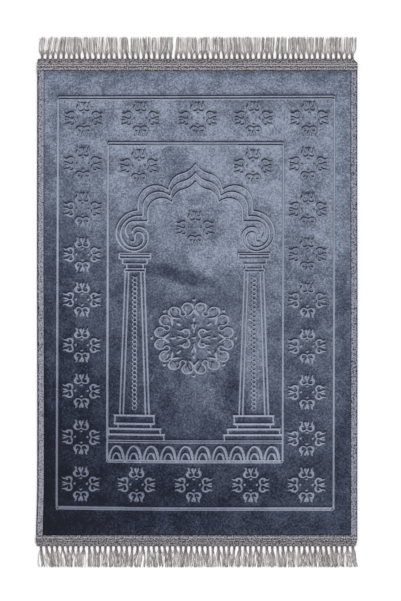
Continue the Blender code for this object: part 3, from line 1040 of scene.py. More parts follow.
def tuft_middles(end):
    """Where the tufts stand: half a cut corner and a little more in from the braid's ends."""
    left, right = row_sides(end)
    first = left + end.tufts_in[0] + KNOT_CORNER / 2
    last = right - end.tufts_in[1] - KNOT_CORNER / 2
    return [first + (last - first) * (i + 0.5) / TUFTS for i in range(TUFTS)]


def row_ends(end, share):
    """X of a knotted row's left and right end, at a share of its width."""
    left, right = row_sides(end)
    (left_cut, left_late), (right_cut, right_late) = end.corners
    return left + left_cut * share ** left_late, right - right_cut * share ** right_late


def tube(mesh, path, radius, sides, *numbers, taper=1.0):
    """A round cord along a path of points. The radius shrinks to its taper at the far end."""
    rings = []
    for i, place in enumerate(path):
        before, after = path[max(i - 1, 0)], path[min(i + 1, len(path) - 1)]
        along = (after - before).normalized()
        across = along.cross(Vector((0.0, 0.0, 1.0))).normalized()
        up = across.cross(along)
        share = i / (len(path) - 1)
        size = radius * (1 + (taper - 1) * share)
        ring = []
        for k in range(sides):
            a = 2 * math.pi * k / sides
            point = place + across * (size * math.cos(a)) + up * (size * math.sin(a))
            ring.append(mesh.add(tuple(point), share, k / sides, *numbers))
        rings.append(ring)
    mesh.sweep([list(reversed(r)) for r in rings])


def knot_ball(mesh, middle, size, tone):
    """A tight knot: a squashed ball with turns of yarn round it."""
    rings = []
    for i in range(KNOT_POINTS + 1):
        across = -1 + 2 * i / KNOT_POINTS
        swell = math.sqrt(max(0.0, 1 - across * across)) * (1 - KNOT_BLUNT) + KNOT_BLUNT
        wrap = 1 - WRAP_DEPTH * (0.5 - 0.5 * math.cos(2 * math.pi * WRAPS * i / KNOT_POINTS))
        ring = []
        for k in range(KNOT_POINTS):
            a = 2 * math.pi * k / KNOT_POINTS
            point = (middle.x + size[0] * across,
                     middle.y + size[1] * swell * wrap * math.cos(a),
                     max(KNOT_LOW, middle.z + size[2] * swell * wrap * math.sin(a)))
            ring.append(mesh.add(point, 0.5, k / KNOT_POINTS, tone))
        rings.append(ring)
    mesh.sweep(rings)


def add_foot(row, end):
    """The flat foot of a knotted row, under its cords."""
    heights = [(share, row_top(end.knots * share, end.knots)) for share, _ in SLAB_TOP]
    profile = [(share, height - sunk) for (share, height), (_, sunk) in zip(heights, SLAB_TOP)]
    profile += [(share, max(0.0, height - KNOT_THICK)) for share, height in reversed(heights)]
    left, right = row_sides(end)
    count = math.ceil((right - left) / SLAB_COL)
    rings = []
    for col in range(count + 1):
        ring = []
        for share, height in profile:
            first, last = row_ends(end, share)
            place = (first + (last - first) * col / count,
                     end.lip + end.way * GAP + end.way * end.knots * share, height)
            ring.append(row.add(place, 0.0, 0.0, FOOT_TONE))
        rings.append(ring if end.way < 0 else list(reversed(ring)))
    row.sweep(rings)


def add_cords(row, end):
    """Two pairs of cords that cross all along a knotted row."""
    left, right = row_sides(end)
    steps = 2 * TUFTS * NET_STEPS
    for (near, far), tone in zip(NETS, end.knot_tones):
        for phase in (0.0, math.pi):
            path = []
            for i in range(steps + 1):
                out = (near + far) / 2 + math.cos(2 * math.pi * i / NET_STEPS + phase) * (far - near) / 2
                lift = NET_LIFT * math.sin(4 * math.pi * i / NET_STEPS + phase)
                first, last = row_ends(end, out / end.knots)
                x = min(max(left + (right - left) * i / steps, first + NET_CORD), last - NET_CORD)
                path.append(Vector((x, end.lip + end.way * GAP + end.way * out,
                                    row_top(out, end.knots) - NET_SUNK + lift)))
            tube(row, path, NET_CORD, NET_SIDES, tone)


def build_knots(end, mat):
    """The knotted row: a flat foot, cords that cross all along it, and a knot for each tuft."""
    rng = random.Random(end.knot_seed)
    row = Mesh("along", "around", "tone")
    add_foot(row, end)
    add_cords(row, end)
    out = end.knots - KNOT_OUT
    smallest, larger = KNOT_SIZES
    for x in tuft_middles(end):
        size = tuple(s * (smallest + larger * rng.random()) for s in KNOT)
        middle = Vector((x + KNOT_STRAY * (rng.random() - 0.5), end.lip + end.way * GAP + end.way * out,
                         row_top(out, end.knots) - size[2]))
        knot_ball(row, middle, size, end.knot_tones[2] + KNOT_TONE_STRAY * rng.random())
    return row.piece(f"knots_{end.name}", [mat], TRIM_EDGE)


# --- Loose yarns --------------------------------------------------------------------------------
YARNS = 13                  # yarns in a tuft
YARN = 0.00060              # radius of a yarn
YARN_SIDES = 5
YARN_POINTS = 13
YARN_BASE = 0.0046          # width of a tuft where it leaves its knot
# A tuft's least and widest spread, by what share of its length it's reached, and how far out it begins.
TOP_FAN = (0.0085, 0.0165, 0.34, 0.0062)
LOWER_FAN = (0.0085, 0.0165, 0.48, 0.0058)
YARN_ROOT = (0.60, 0.0038)  # how much wider a tuft is right at its knot, and how far out that ends
YARN_CORE = 0.50            # how light the yarns at a tuft's middle are, beside the ones at its sides
TUFT_SWAY = 0.0060          # sideways lean of the tips
SWAY_WAVES = (              # share of the lean, radians per tuft, phase
    (0.45, 0.63, 0.0),
    (0.35, 0.29, 1.0),
)
END_SPLAY = (-0.6, 1.2)     # share of the lean by which the left and the right tufts splay outwards
YARN_SHORT = 0.0048         # how much shorter than the rest a yarn can be
YARN_WAVE = 0.0007          # sideways waves along a yarn
YARN_TONES = ((0.40, 0.02, 0.28), (0.70, 0.30, 0.62), (1.00, 0.70, 1.00))   # share below, tone from, to
YARN_START = -0.0022        # the yarns begin inside their knot
SWAY_STRAY = 1.3            # how far one tuft's lean strays from the next's, as a share of it
YARN_DRIFT = 0.24           # how far a yarn strays aside in its tuft, as a share of the tuft's width
YARN_TURNS = (0.6, 0.9)     # fewest side waves along a yarn, and how many more it can have
YARN_LOW = 0.00004          # the lowest yarns lie this far off the floor
YARN_SPAN = (0.15, 0.8)     # shares of a tuft's height: the lowest yarn's, and how much higher one can lie
YARN_FALL = (0.6, 2.2, 0.0002)      # how far and how soon a tuft sinks, as shares, and the least it does
YARN_EDGE = 1.3             # how light the yarns at a tuft's sides are
FAN_SKEW = 0.7              # more tufts are wide than tight
FAN_SOON = 0.8              # how soon a tuft opens
LEAN_LATE = 1.3             # how late it leans
WAVE_LEAST = 0.4
YARN_SIZES = (0.85, 0.3)    # the thinnest, and how much thicker a yarn can be
YARN_TAPER = 0.85


def yarn_tone(rng):
    """How light a yarn is: dark, middle or light, so that most tufts mix them."""
    pick = rng.random()
    for below, low, high in YARN_TONES:
        if pick <= below:
            return low + (high - low) * rng.random()


def tuft_lean(i, rng):
    """Sideways lean of one tuft's tips."""
    lean = sum(share * math.sin(i * step + phase) for share, step, phase in SWAY_WAVES)
    aside = 2 * i / (TUFTS - 1) - 1
    lean += END_SPLAY[1] * max(aside, 0.0) ** 5 - END_SPLAY[0] * max(-aside, 0.0) ** 5
    return TUFT_SWAY * (lean + SWAY_STRAY * (rng.random() - 0.5))


def build_yarns(end, mat):
    """The loose yarns of one fringe, bunched at the knots and fanned out on the floor."""
    rng = random.Random(end.yarn_seed)
    tight, wide, by, waist = end.fan
    fringe = Mesh("along", "around", "tone")
    start = end.lip + end.way * (GAP + end.knots)
    for i, middle in enumerate(tuft_middles(end)):
        lean = tuft_lean(i, rng)
        fan = tight + (wide - tight) * rng.random() ** FAN_SKEW
        for k in range(YARNS):
            seat = (k + 0.5) / YARNS - 0.5
            drift = rng.gauss(0.0, YARN_DRIFT)
            depth = rng.random()
            reach = end.length - YARN_SHORT * rng.random() ** 2
            if i == TUFTS // 2 and k == YARNS // 2:
                reach = end.length
            wave = YARN_WAVE * end.waviness * (WAVE_LEAST + rng.random())
            turns = (YARN_TURNS[0] + YARN_TURNS[1] * rng.random()) * end.waviness
            phase = 2 * math.pi * rng.random()
            path = []
            for n in range(YARN_POINTS):
                share = n / (YARN_POINTS - 1)
                out = YARN_START + (reach - YARN_START) * share
                opened = smooth((out - waist) / (end.length * by)) ** FAN_SOON
                base = YARN_BASE * (1 + YARN_ROOT[0] * (1 - smooth(out / YARN_ROOT[1])))
                width = base + max(0.0, fan - base) * opened
                x = middle + lean * share ** LEAN_LATE + width * (seat + drift * opened)
                x += wave * smooth(share * 2) * math.sin(2 * math.pi * turns * share + phase)
                sunk = YARN_FALL[0] * smooth(share * YARN_FALL[1])
                room = (KNOT_THICK - 2 * YARN) * (1 - sunk) - YARN_FALL[2]
                z = YARN + YARN_LOW + room * (YARN_SPAN[0] + YARN_SPAN[1] * depth)
                path.append(Vector((x, start + end.way * out, z)))
            size = YARN * (YARN_SIZES[0] + YARN_SIZES[1] * rng.random())
            tone = end.lightness * yarn_tone(rng) * (YARN_CORE + 2 * (YARN_EDGE - YARN_CORE) * abs(seat))
            tube(fringe, path, size, YARN_SIDES, tone, taper=YARN_TAPER)
    return fringe.piece(f"yarns_{end.name}", [mat])


# --- Node groups shared by the materials --------------------------------------------------------
FIBRE_NOISE = (3.0, 0.6)    # detail and roughness
CLOUD_NOISE = (2.5, 0.55)


def feed(tree, socket, value):
    """Links another node's output to a socket, or sets the socket's own value."""
    if isinstance(value, bpy.types.NodeSocket):
        tree.links.new(value, socket)
    elif value is not None:
        socket.default_value = value


def maths(tree, operation, *values, clamp=False):
    node = tree.nodes.new("ShaderNodeMath")
    node.operation = operation
    node.use_clamp = clamp
    for socket, value in zip(node.inputs, values):
        feed(tree, socket, value)
    return node.outputs[0]


def vector_maths(tree, operation, *vectors):
    node = tree.nodes.new("ShaderNodeVectorMath")
    node.operation = operation
    for socket, vector in zip(node.inputs, vectors):
        feed(tree, socket, vector)
    return node


def ranged(tree, value, low, high, to_low=0.0, to_high=1.0, smooth_ends=False):
    """A value carried from one range to another, held at the ends."""
    node = tree.nodes.new("ShaderNodeMapRange")
    node.interpolation_type = "SMOOTHSTEP" if smooth_ends else "LINEAR"
    for name, number in (("Value", value), ("From Min", low), ("From Max", high),
                         ("To Min", to_low), ("To Max", to_high)):
        feed(tree, node.inputs[name], number)
    return node.outputs["Result"]


def mixed(tree, share, first, second, blend="MIX"):
    """Two colours mixed by a share."""
    node = tree.nodes.new("ShaderNodeMix")
    node.data_type = "RGBA"
    node.blend_type = blend
    feed(tree, node.inputs[0], share)
    feed(tree, node.inputs[6], first)
    feed(tree, node.inputs[7], second)
    return node.outputs[2]


def product(tree, first, *others):
    """Values multiplied together."""
    for other in others:
        first = maths(tree, "MULTIPLY", first, other)
    return first


def varied(tree, value, by, change, clamp=False):
    """A value raised and lowered by another one, as far as that is off its middle, one half."""
    return maths(tree, "MULTIPLY_ADD", maths(tree, "SUBTRACT", by, 0.5), change, value, clamp=clamp)


def split_up(tree, vector):
    """A vector's X, Y and Z."""
    node = tree.nodes.new("ShaderNodeSeparateXYZ")
    feed(tree, node.inputs[0], vector)
    return node.outputs


def noise_at(tree, vector, scale, detail, roughness):
    node = tree.nodes.new("ShaderNodeTexNoise")
    for name, value in (("Vector", vector), ("Scale", scale), ("Detail", detail), ("Roughness", roughness)):
        feed(tree, node.inputs[name], value)
    return node.outputs["Fac"]


def attribute(tree, name):
    node = tree.nodes.new("ShaderNodeAttribute")
    node.attribute_name = name
    return node.outputs["Fac"]


def colour(red, green, blue):
    """A colour as light, from its values on screen."""
    def light(value):
        value /= 255
        return value / 12.92 if value <= 0.04045 else ((value + 0.055) / 1.055) ** 2.4
    return (light(red), light(green), light(blue), 1.0)


def new_group(name, inputs, outputs):
    """An empty node group with its sockets: (name, kind, default) in, (name, kind) out."""
    group = bpy.data.node_groups.new(name, "ShaderNodeTree")
    for label, kind, default in inputs:
        socket = group.interface.new_socket(label, in_out="INPUT", socket_type=kind)
        if default is not None:
            socket.default_value = default
    for label, kind in outputs:
        group.interface.new_socket(label, in_out="OUTPUT", socket_type=kind)
    return group, group.nodes.new("NodeGroupInput").outputs, group.nodes.new("NodeGroupOutput").inputs


def use_group(tree, group, **values):
    """A group placed in a material, with its inputs given by name."""
    node = tree.nodes.new("ShaderNodeGroup")
    node.node_tree = group
    for name, value in values.items():
        feed(tree, node.inputs[name], value)
    return node.outputs


def fibre_grain_group():
    """Fine uneven fibre: a grain to vary colour by and a height for the bump."""
    group, given, put = new_group(
        "fibre_grain",
        (("Vector", "NodeSocketVector", None), ("Size", "NodeSocketFloat", 0.001),
         ("Contrast", "NodeSocketFloat", 1.0)),
        (("Grain", "NodeSocketFloat"), ("Height", "NodeSocketFloat")))
    scale = maths(group, "DIVIDE", 1.0, given["Size"])
    fine = noise_at(group, given["Vector"], scale, *FIBRE_NOISE)
    centred = maths(group, "SUBTRACT", fine, 0.5)
    strong = maths(group, "MULTIPLY", centred, given["Contrast"])
    feed(group, put["Grain"], maths(group, "ADD", strong, 0.5, clamp=True))
    feed(group, put["Height"], fine)
    return group


def slow_cloud_group():
    """Soft clouds, for pile that was stroked one way and another."""
    group, given, put = new_group(
        "slow_cloud",
        (("Vector", "NodeSocketVector", None), ("Size", "NodeSocketFloat", 0.05),
         ("Spread", "NodeSocketFloat", 0.25)),
        (("Cloud", "NodeSocketFloat"),))
    scale = maths(group, "DIVIDE", 1.0, given["Size"])
    soft = noise_at(group, given["Vector"], scale, *CLOUD_NOISE)
    low = maths(group, "SUBTRACT", 0.5, given["Spread"])
    high = maths(group, "ADD", 0.5, given["Spread"])
    feed(group, put["Cloud"], ranged(group, soft, low, high, smooth_ends=True))
    return group


def plain_weave_group():
    """Threads over and under each other: which thread is on top, and the cloth's height."""
    group, given, put = new_group(
        "plain_weave",
        (("Vector", "NodeSocketVector", None), ("Thread", "NodeSocketFloat", 0.001)),
        (("Over", "NodeSocketFloat"), ("Height", "NodeSocketFloat")))
    place = split_up(group, given["Vector"])
    turn = maths(group, "DIVIDE", math.pi, given["Thread"])
    across = maths(group, "SINE", maths(group, "MULTIPLY", place["X"], turn))
    along = maths(group, "SINE", maths(group, "MULTIPLY", place["Y"], turn))
    over = maths(group, "GREATER_THAN", maths(group, "MULTIPLY", across, along), 0.0)
    warp = maths(group, "MULTIPLY", maths(group, "ABSOLUTE", across), over)
    weft = maths(group, "MULTIPLY", maths(group, "ABSOLUTE", along), maths(group, "SUBTRACT", 1.0, over))
    feed(group, put["Over"], over)
    feed(group, put["Height"], maths(group, "ADD", warp, weft))
    return group


# --- Materials ----------------------------------------------------------------------------------
SPECULAR = 0.25             # cloth shines little
SHEEN_ROUGHNESS = 0.45


def new_material(name, roughness, sheen):
    """A material with its shader, its tree and the piece's own coordinates."""
    mat = bpy.data.materials.new(name)
    mat.use_nodes = True
    tree = mat.node_tree
    shader = tree.nodes["Principled BSDF"]
    shader.inputs["Roughness"].default_value = roughness
    shader.inputs["Specular IOR Level"].default_value = SPECULAR
    shader.inputs["Sheen Weight"].default_value = sheen
    shader.inputs["Sheen Roughness"].default_value = SHEEN_ROUGHNESS
    place = tree.nodes.new("ShaderNodeTexCoord").outputs["Object"]
    return mat, tree, shader, place


def add_bump(tree, shader, height, strength, distance):
    bump = tree.nodes.new("ShaderNodeBump")
    bump.inputs["Strength"].default_value = strength
    bump.inputs["Distance"].default_value = distance
    feed(tree, bump.inputs["Height"], height)
    feed(tree, shader.inputs["Normal"], bump.outputs["Normal"])


# Painted light and shade on the nap, light at the top where the light falls and darker towards the foot: 1 is
# the lightest. Terms in the distance up the rug, in metres.
PAINTED_SHADING_ALONG = (0.662, 0.791, -0.139, -0.649, -0.932, -1.458)
PAINTED_SHADING_ACROSS = (0.362, -0.407, -0.569, -0.056)    # the same, for each metre to the right
PAINTED_SHADING_BOW = (-1.156, -0.023, 2.468)               # and for the square of that distance
NAP_STOPS = (       # lightness, colour
    (0.10, (8, 13, 27)),
    (0.25, (28, 35, 54)),
    (0.50, (65, 73, 92)),
    (0.75, (103, 112, 130)),
    (1.00, (146, 155, 173)),
)
MOTIF_STOPS = (     # colour of a motif's pressed floor, with the flattened pile's painted sheen
    (0.15, (112, 119, 137)),
    (0.30, (130, 137, 155)),
    (0.47, (146, 154, 172)),
    (0.60, (142, 150, 168)),
    (0.76, (122, 130, 148)),
    (1.00, (138, 147, 165)),
)
LINE_STOPS = (      # and of a line's
    (0.15, (112, 119, 137)),
    (0.30, (130, 137, 155)),
    (0.47, (152, 160, 178)),
    (0.66, (158, 166, 184)),
    (1.00, (154, 162, 180)),
)
BRUSHED = (     # patches of pile stroked another way, whose painted sheen makes them darker or lighter: middle, radii, turn, softness, change in lightness
    ((-0.058, 0.345), (0.042, 0.062), 0, 0.35, -0.17),
    ((-0.030, 0.420), (0.060, 0.050), 0, 0.50, -0.10),
    ((-0.190, 0.270), (0.045, 0.060), 0, 0.55, 0.08),
    ((-0.300, 0.496), (0.050, 0.020), 0, 0.35, 0.15),
    ((0.150, 0.500), (0.100, 0.050), 0, 0.55, -0.07),
    ((0.235, 0.534), (0.130, 0.018), 0, 0.45, 0.08),
    ((0.308, 0.329), (0.050, 0.050), 0, 0.50, -0.10),
    ((0.328, 0.190), (0.040, 0.090), 0, 0.50, 0.12),
    ((0.143, 0.155), (0.050, 0.060), 0, 0.50, 0.14),
    ((0.040, 0.112), (0.090, 0.045), -10, 0.30, 0.13),
    ((-0.062, 0.070), (0.150, 0.024), -14, 0.35, -0.25),
    ((-0.150, 0.030), (0.090, 0.045), -10, 0.55, -0.10),
    ((-0.330, 0.070), (0.060, 0.060), 0, 0.55, -0.05),
    ((0.010, -0.004), (0.170, 0.030), 0, 0.55, -0.07),
    ((0.088, 0.000), (0.050, 0.040), 0, 0.50, -0.09),
    ((0.265, -0.040), (0.070, 0.060), 0, 0.55, -0.10),
    ((0.363, 0.000), (0.022, 0.090), 0, 0.50, -0.12),
    ((0.140, -0.140), (0.030, 0.190), 2, 0.35, 0.19),
    ((0.085, -0.180), (0.022, 0.090), 6, 0.40, -0.14),
    ((0.030, -0.140), (0.070, 0.050), 0, 0.55, 0.09),
    ((0.004, -0.240), (0.070, 0.110), 0, 0.50, 0.10),
    ((-0.362, -0.170), (0.018, 0.190), 0, 0.50, 0.10),
    ((0.363, -0.380), (0.022, 0.100), 0, 0.50, -0.10),
    ((0.010, -0.480), (0.260, 0.060), 0, 0.55, -0.06),
    ((0.000, 0.504), (0.240, 0.014), 0, 0.45, -0.06),
    ((0.000, 0.180), (0.110, 0.030), 0, 0.50, -0.06),
)
BRUSHED_EDGE = 0.75         # a patch is half felt at this share of its radii
RAGGED = 0.7                # how far that edge strays, as a share of them
RAGGED_SIZE = 0.036
CLOUDS = (          # size, spread and strength of the nap's uneven stroking
    (0.060, 0.12, 0.15),
    (0.022, 0.22, 0.07),
    (0.010, 0.25, 0.05),
)


def brushed_patch_group():
    """An oval patch on the cloth, turned any way, with a ragged edge."""
    group, given, put = new_group(
        "brushed_patch",
        (("Vector", "NodeSocketVector", None), ("Middle", "NodeSocketVector", None),
         ("Radii", "NodeSocketVector", (1.0, 1.0, 1.0)), ("Turn", "NodeSocketFloat", 0.0),
         ("Softness", "NodeSocketFloat", 0.5)),
        (("Mask", "NodeSocketFloat"),))
    turned = group.nodes.new("ShaderNodeVectorRotate")
    turned.rotation_type = "Z_AXIS"
    feed(group, turned.inputs["Vector"], given["Vector"])
    feed(group, turned.inputs["Center"], given["Middle"])
    feed(group, turned.inputs["Angle"], maths(group, "MULTIPLY", given["Turn"], -1.0))
    moved = vector_maths(group, "SUBTRACT", turned.outputs[0], given["Middle"]).outputs[0]
    scaled = vector_maths(group, "DIVIDE", moved, given["Radii"]).outputs[0]
    away = vector_maths(group, "LENGTH", scaled).outputs["Value"]
    stray = maths(group, "SUBTRACT", noise_at(group, given["Vector"], 1 / RAGGED_SIZE, *FIBRE_NOISE), 0.5)
    away = maths(group, "MULTIPLY_ADD", stray, RAGGED, away)
    near = maths(group, "SUBTRACT", BRUSHED_EDGE, given["Softness"])
    far = maths(group, "ADD", BRUSHED_EDGE, given["Softness"])
    feed(group, put["Mask"], ranged(group, away, far, near, smooth_ends=True))
    return group


def ramp(tree, share, stops):
    node = tree.nodes.new("ShaderNodeValToRGB")
    feed(tree, node.inputs["Fac"], share)
    elements = node.color_ramp.elements
    while len(elements) < len(stops):
        elements.new(0.5)
    for element, (place, value) in zip(elements, stops):
        element.position = place
        element.color = colour(*value)
    return node.outputs["Color"]


def polynomial(tree, value, terms):
    """A value's polynomial, from its constant term up."""
    result = terms[-1]
    for term in reversed(terms[:-1]):
        result = maths(tree, "MULTIPLY_ADD", result, value, term)
    return result


PILE_FINISH = (0.82, 0.20)          # roughness and sheen
BRAID_BANDS_WITH_PAINTED_SHADOW = (                   # in from each braid: from, to, and how much darker or lighter it is there; the darker band beside the top braid is painted shadow
    (TOP_BRAID_INNER, -1, 0.016, 0.001, -0.16),
    (LOWER_BRAID_INNER, 1, 0.020, 0.002, 0.055),
)
PILE_GRAIN = (0.0034, 1.45)         # its size and strength
GRAIN_ON_NAP = (0.25, 0.65)         # how much of it shows for each unit of the nap, and where there's none
TAPE_PAINTED_SHADOW = (3.0, -0.30)         # painted shadow beside a tape: how narrow the dark line is, and how much darker
FLOOR_UNEVEN = 0.5                  # share of the pile's unevenness that a groove's floor has
WORN = (0.02, -0.30, 0.0, 0.42)     # the unevenness at which a floor looks worn: from, most, and how much
WORN_COLOUR = (60, 66, 84)
FLOOR_SHOWS = (0.05, 0.45)          # how far pressed the floor's colour takes over: from, fully
SHADED_WAY = -0.32                  # the shaded walls face down the rug, turned this much to the right
SHADED = (-0.06, -0.21, 0.0, 0.95)  # how far that way a wall faces: from, fully, and its shade
SHADE_TOP = (0.0, 0.08, 0.30, 1.0)  # the same, by how far pressed a place is: under the pile's edge
SHADE_FOOT = (0.90, 1.0, 1.0, 0.95)     # and at the floor
RIM_TOP = (0.0, 0.30)               # painted shade darkens both walls between these, where the nap is light
RIM_FOOT = (0.98, 0.60)
RIM_NAP = (0.55, 0.85, 0.0, 0.66)
SHADE_COLOUR = (18, 22, 38)
SHEEN_COLOUR = (190, 200, 225)
FUZZ = 0.0009                       # size of the pile's finest fibres
FUZZ_ROUGHNESS = (0.2, 0.8, 0.72, 0.92)
FUZZ_BUMP = (0.5, 0.0006)           # strength and height


def painted_nap_shading(tree, groups, across, along):
    """Painted light and shade on the nap: a slow slope from light at the top to dark at the foot, patches of
    pile stroked another way that show lighter or darker, and a band beside each braid, darker in painted
    shadow beside the top one.
    """
    bow = polynomial(tree, along, PAINTED_SHADING_BOW)
    tilt = maths(tree, "MULTIPLY_ADD", across, bow, polynomial(tree, along, PAINTED_SHADING_ACROSS))
    nap = maths(tree, "MULTIPLY_ADD", tilt, across, polynomial(tree, along, PAINTED_SHADING_ALONG))
    flat = tree.nodes.new("ShaderNodeCombineXYZ")
    feed(tree, flat.inputs["X"], across)
    feed(tree, flat.inputs["Y"], along)
    for middle, radii, turn, softness, change in BRUSHED:
        mask = use_group(tree, groups["brushed_patch"], Vector=flat.outputs[0], Middle=(*middle, 0.0),
                         Radii=(*radii, 1.0), Turn=math.radians(turn), Softness=softness)["Mask"]
        nap = maths(tree, "MULTIPLY_ADD", mask, change, nap)
    for edge, way, near, far, change in BRAID_BANDS_WITH_PAINTED_SHADOW:
        band = ranged(tree, along, edge + way * near, edge + way * far, 0.0, change)
        nap = maths(tree, "ADD", nap, band)
    return nap


def uneven_stroking(tree, groups, place, nap):
    """The grain and the clouds of the pile, about zero."""
    size, strength = PILE_GRAIN
    grain = use_group(tree, groups["fibre_grain"], Vector=place, Size=size, Contrast=1.0)["Grain"]
    uneven = maths(tree, "MULTIPLY", maths(tree, "SUBTRACT", grain, 0.5), strength)
    for size, spread, change in CLOUDS:
        cloud = use_group(tree, groups["slow_cloud"], Vector=place, Size=size, Spread=spread)["Cloud"]
        uneven = varied(tree, uneven, cloud, change)
    return maths(tree, "MULTIPLY", uneven, maths(tree, "MULTIPLY_ADD", nap, *GRAIN_ON_NAP))


def groove_floor(tree, pile, nap, uneven):
    """Colour of a groove's floor: like the pile, or a motif's or a line's with the flattened pile's painted
    sheen, by how lit it is.
    """
    stroked = maths(tree, "MULTIPLY_ADD", uneven, FLOOR_UNEVEN, nap, clamp=True)
    lit = attribute(tree, "lit")
    floor = mixed(tree, ranged(tree, lit, 0.0, MOTIF_LIT), pile, ramp(tree, stroked, MOTIF_STOPS))
    floor = mixed(tree, ranged(tree, lit, MOTIF_LIT, LINE_LIT), floor, ramp(tree, stroked, LINE_STOPS))
    return mixed(tree, ranged(tree, uneven, *WORN), floor, colour(*WORN_COLOUR))


def groove_shade(tree, nap, pressed):
    """Painted shade on a groove's walls: on the ones that face down the rug, away from the light, and on all
    of them in light pile.
    """
    facing = split_up(tree, tree.nodes["Texture Coordinate"].outputs["Normal"])
    away = maths(tree, "MULTIPLY_ADD", facing["X"], SHADED_WAY, facing["Y"])
    shade = product(tree, ranged(tree, away, *SHADED, smooth_ends=True),
                    ranged(tree, pressed, *SHADE_TOP), ranged(tree, pressed, *SHADE_FOOT))
    rim = product(tree, ranged(tree, pressed, *RIM_TOP), ranged(tree, pressed, *RIM_FOOT),
                  ranged(tree, nap, *RIM_NAP))
    return maths(tree, "MAXIMUM", shade, rim)


def velvet_material(groups):
    """Pressed velvet, its colour painted with light and shade: lighter at the top, where the light falls, to
    near black at the foot.
    """
    mat, tree, shader, place = new_material("pressed_velvet", *PILE_FINISH)
    at = split_up(tree, place)
    nap = painted_nap_shading(tree, groups, at["X"], at["Y"])
    uneven = uneven_stroking(tree, groups, place, nap)
    # Painted shadow of each side tape: the nap is darkened on the row beside it.
    narrow, darker = TAPE_PAINTED_SHADOW
    held = maths(tree, "POWER", attribute(tree, "beside_tape"), narrow)
    leaned = maths(tree, "MULTIPLY_ADD", maths(tree, "MULTIPLY", held, nap), darker, nap)
    pile = ramp(tree, maths(tree, "ADD", leaned, uneven, clamp=True), NAP_STOPS)
    pressed = attribute(tree, "pressed")
    base = mixed(tree, ranged(tree, pressed, *FLOOR_SHOWS, smooth_ends=True), pile,
                 groove_floor(tree, pile, nap, uneven))
    base = mixed(tree, groove_shade(tree, nap, pressed), base, colour(*SHADE_COLOUR))
    feed(tree, shader.inputs["Base Color"], base)
    shader.inputs["Sheen Tint"].default_value = colour(*SHEEN_COLOUR)
    fuzz = use_group(tree, groups["fibre_grain"], Vector=place, Size=FUZZ, Contrast=1.0)
    feed(tree, shader.inputs["Roughness"], ranged(tree, fuzz["Grain"], *FUZZ_ROUGHNESS))
    add_bump(tree, shader, fuzz["Height"], *FUZZ_BUMP)
    return mat


BACK_FINISH = (0.85, 0.10)
BACK_THREAD = 0.0014
BACK_THREADS = ((62, 66, 80), (84, 88, 102))        # the under and the over threads
BACK_GRAIN = (0.0008, 1.4, 0.4, (120, 124, 136))    # size, contrast, share and colour
BACK_CLOUD = (0.06, 0.3, 0.25, (50, 54, 68))        # size, spread, share and colour
BACK_ROUGHNESS = (0.75, 0.95)
BACK_RELIEF = (0.4, 0.6, 0.0004)                    # share of the grain, strength and height


def backing_material(groups):
    """The plain woven back of the velvet."""
    mat, tree, shader, place = new_material("woven_back", *BACK_FINISH)
    weave = use_group(tree, groups["plain_weave"], Vector=place, Thread=BACK_THREAD)
    size, contrast, share, tint = BACK_GRAIN
    grain = use_group(tree, groups["fibre_grain"], Vector=place, Size=size, Contrast=contrast)
    under, over = BACK_THREADS
    base = mixed(tree, weave["Over"], colour(*under), colour(*over))
    base = mixed(tree, maths(tree, "MULTIPLY", grain["Grain"], share), base, colour(*tint))
    base = clouded(tree, groups, place, base, BACK_CLOUD)
    feed(tree, shader.inputs["Base Color"], base)
    feed(tree, shader.inputs["Roughness"], ranged(tree, grain["Grain"], 0.0, 1.0, *BACK_ROUGHNESS))
    fibre, strength, height = BACK_RELIEF
    add_bump(tree, shader, maths(tree, "MULTIPLY_ADD", grain["Height"], fibre, weave["Height"]),
             strength, height)
    return mat


def clouded(tree, groups, place, base, cloud):
    """A colour mixed in soft clouds with another: their size, spread, share and colour."""
    size, spread, share, tint = cloud
    mask = use_group(tree, groups["slow_cloud"], Vector=place, Size=size, Spread=spread)["Cloud"]
    return mixed(tree, maths(tree, "MULTIPLY", mask, share), base, colour(*tint))


def speckled(tree, groups, place, tone, size, strength):
    """A tone broken up by fibre grain, held between 0 and 1."""
    grain = use_group(tree, groups["fibre_grain"], Vector=place, Size=size, Contrast=1.0)
    return varied(tree, tone, grain["Grain"], strength, clamp=True), grain


# Each trim's speckle size and strength, its dark and its light, their roughness, and its fibres' relief.
TAPE_LOOK = (0.0030, 4.6, (20, 21, 28), (156, 158, 172), (0.86, 0.70), 0.4)
BRAID_LOOK = (0.0028, 4.8, (50, 49, 56), (184, 181, 187), (0.88, 0.70), 0.5)
KNOT_LOOK = (0.0032, 7.0, (46, 44, 50), (162, 159, 166), (0.90, 0.72), 0.6)
TRIM_SHEEN = 0.04
TRIM_BUMP = (0.5, 0.0004)           # strength and height


def finish_trim(tree, groups, shader, place, tone, threads, look):
    """Speckles a trim between its dark and its light, and raises its threads."""
    size, strength, dark, light, roughness, fibre = look
    tone, grain = speckled(tree, groups, place, tone, size, strength)
    feed(tree, shader.inputs["Base Color"], mixed(tree, tone, colour(*dark), colour(*light)))
    feed(tree, shader.inputs["Roughness"], ranged(tree, tone, 0.0, 1.0, *roughness))
    add_bump(tree, shader, maths(tree, "MULTIPLY_ADD", grain["Height"], fibre, threads), *TRIM_BUMP)


TAPE_THREAD = 0.0012
TAPE_DOTS = 0.0052                  # spacing of the dots along its cord
TAPE_CONTRAST = (0.55, 0.22, 0.16)  # of its slanting threads, its dots and its weave


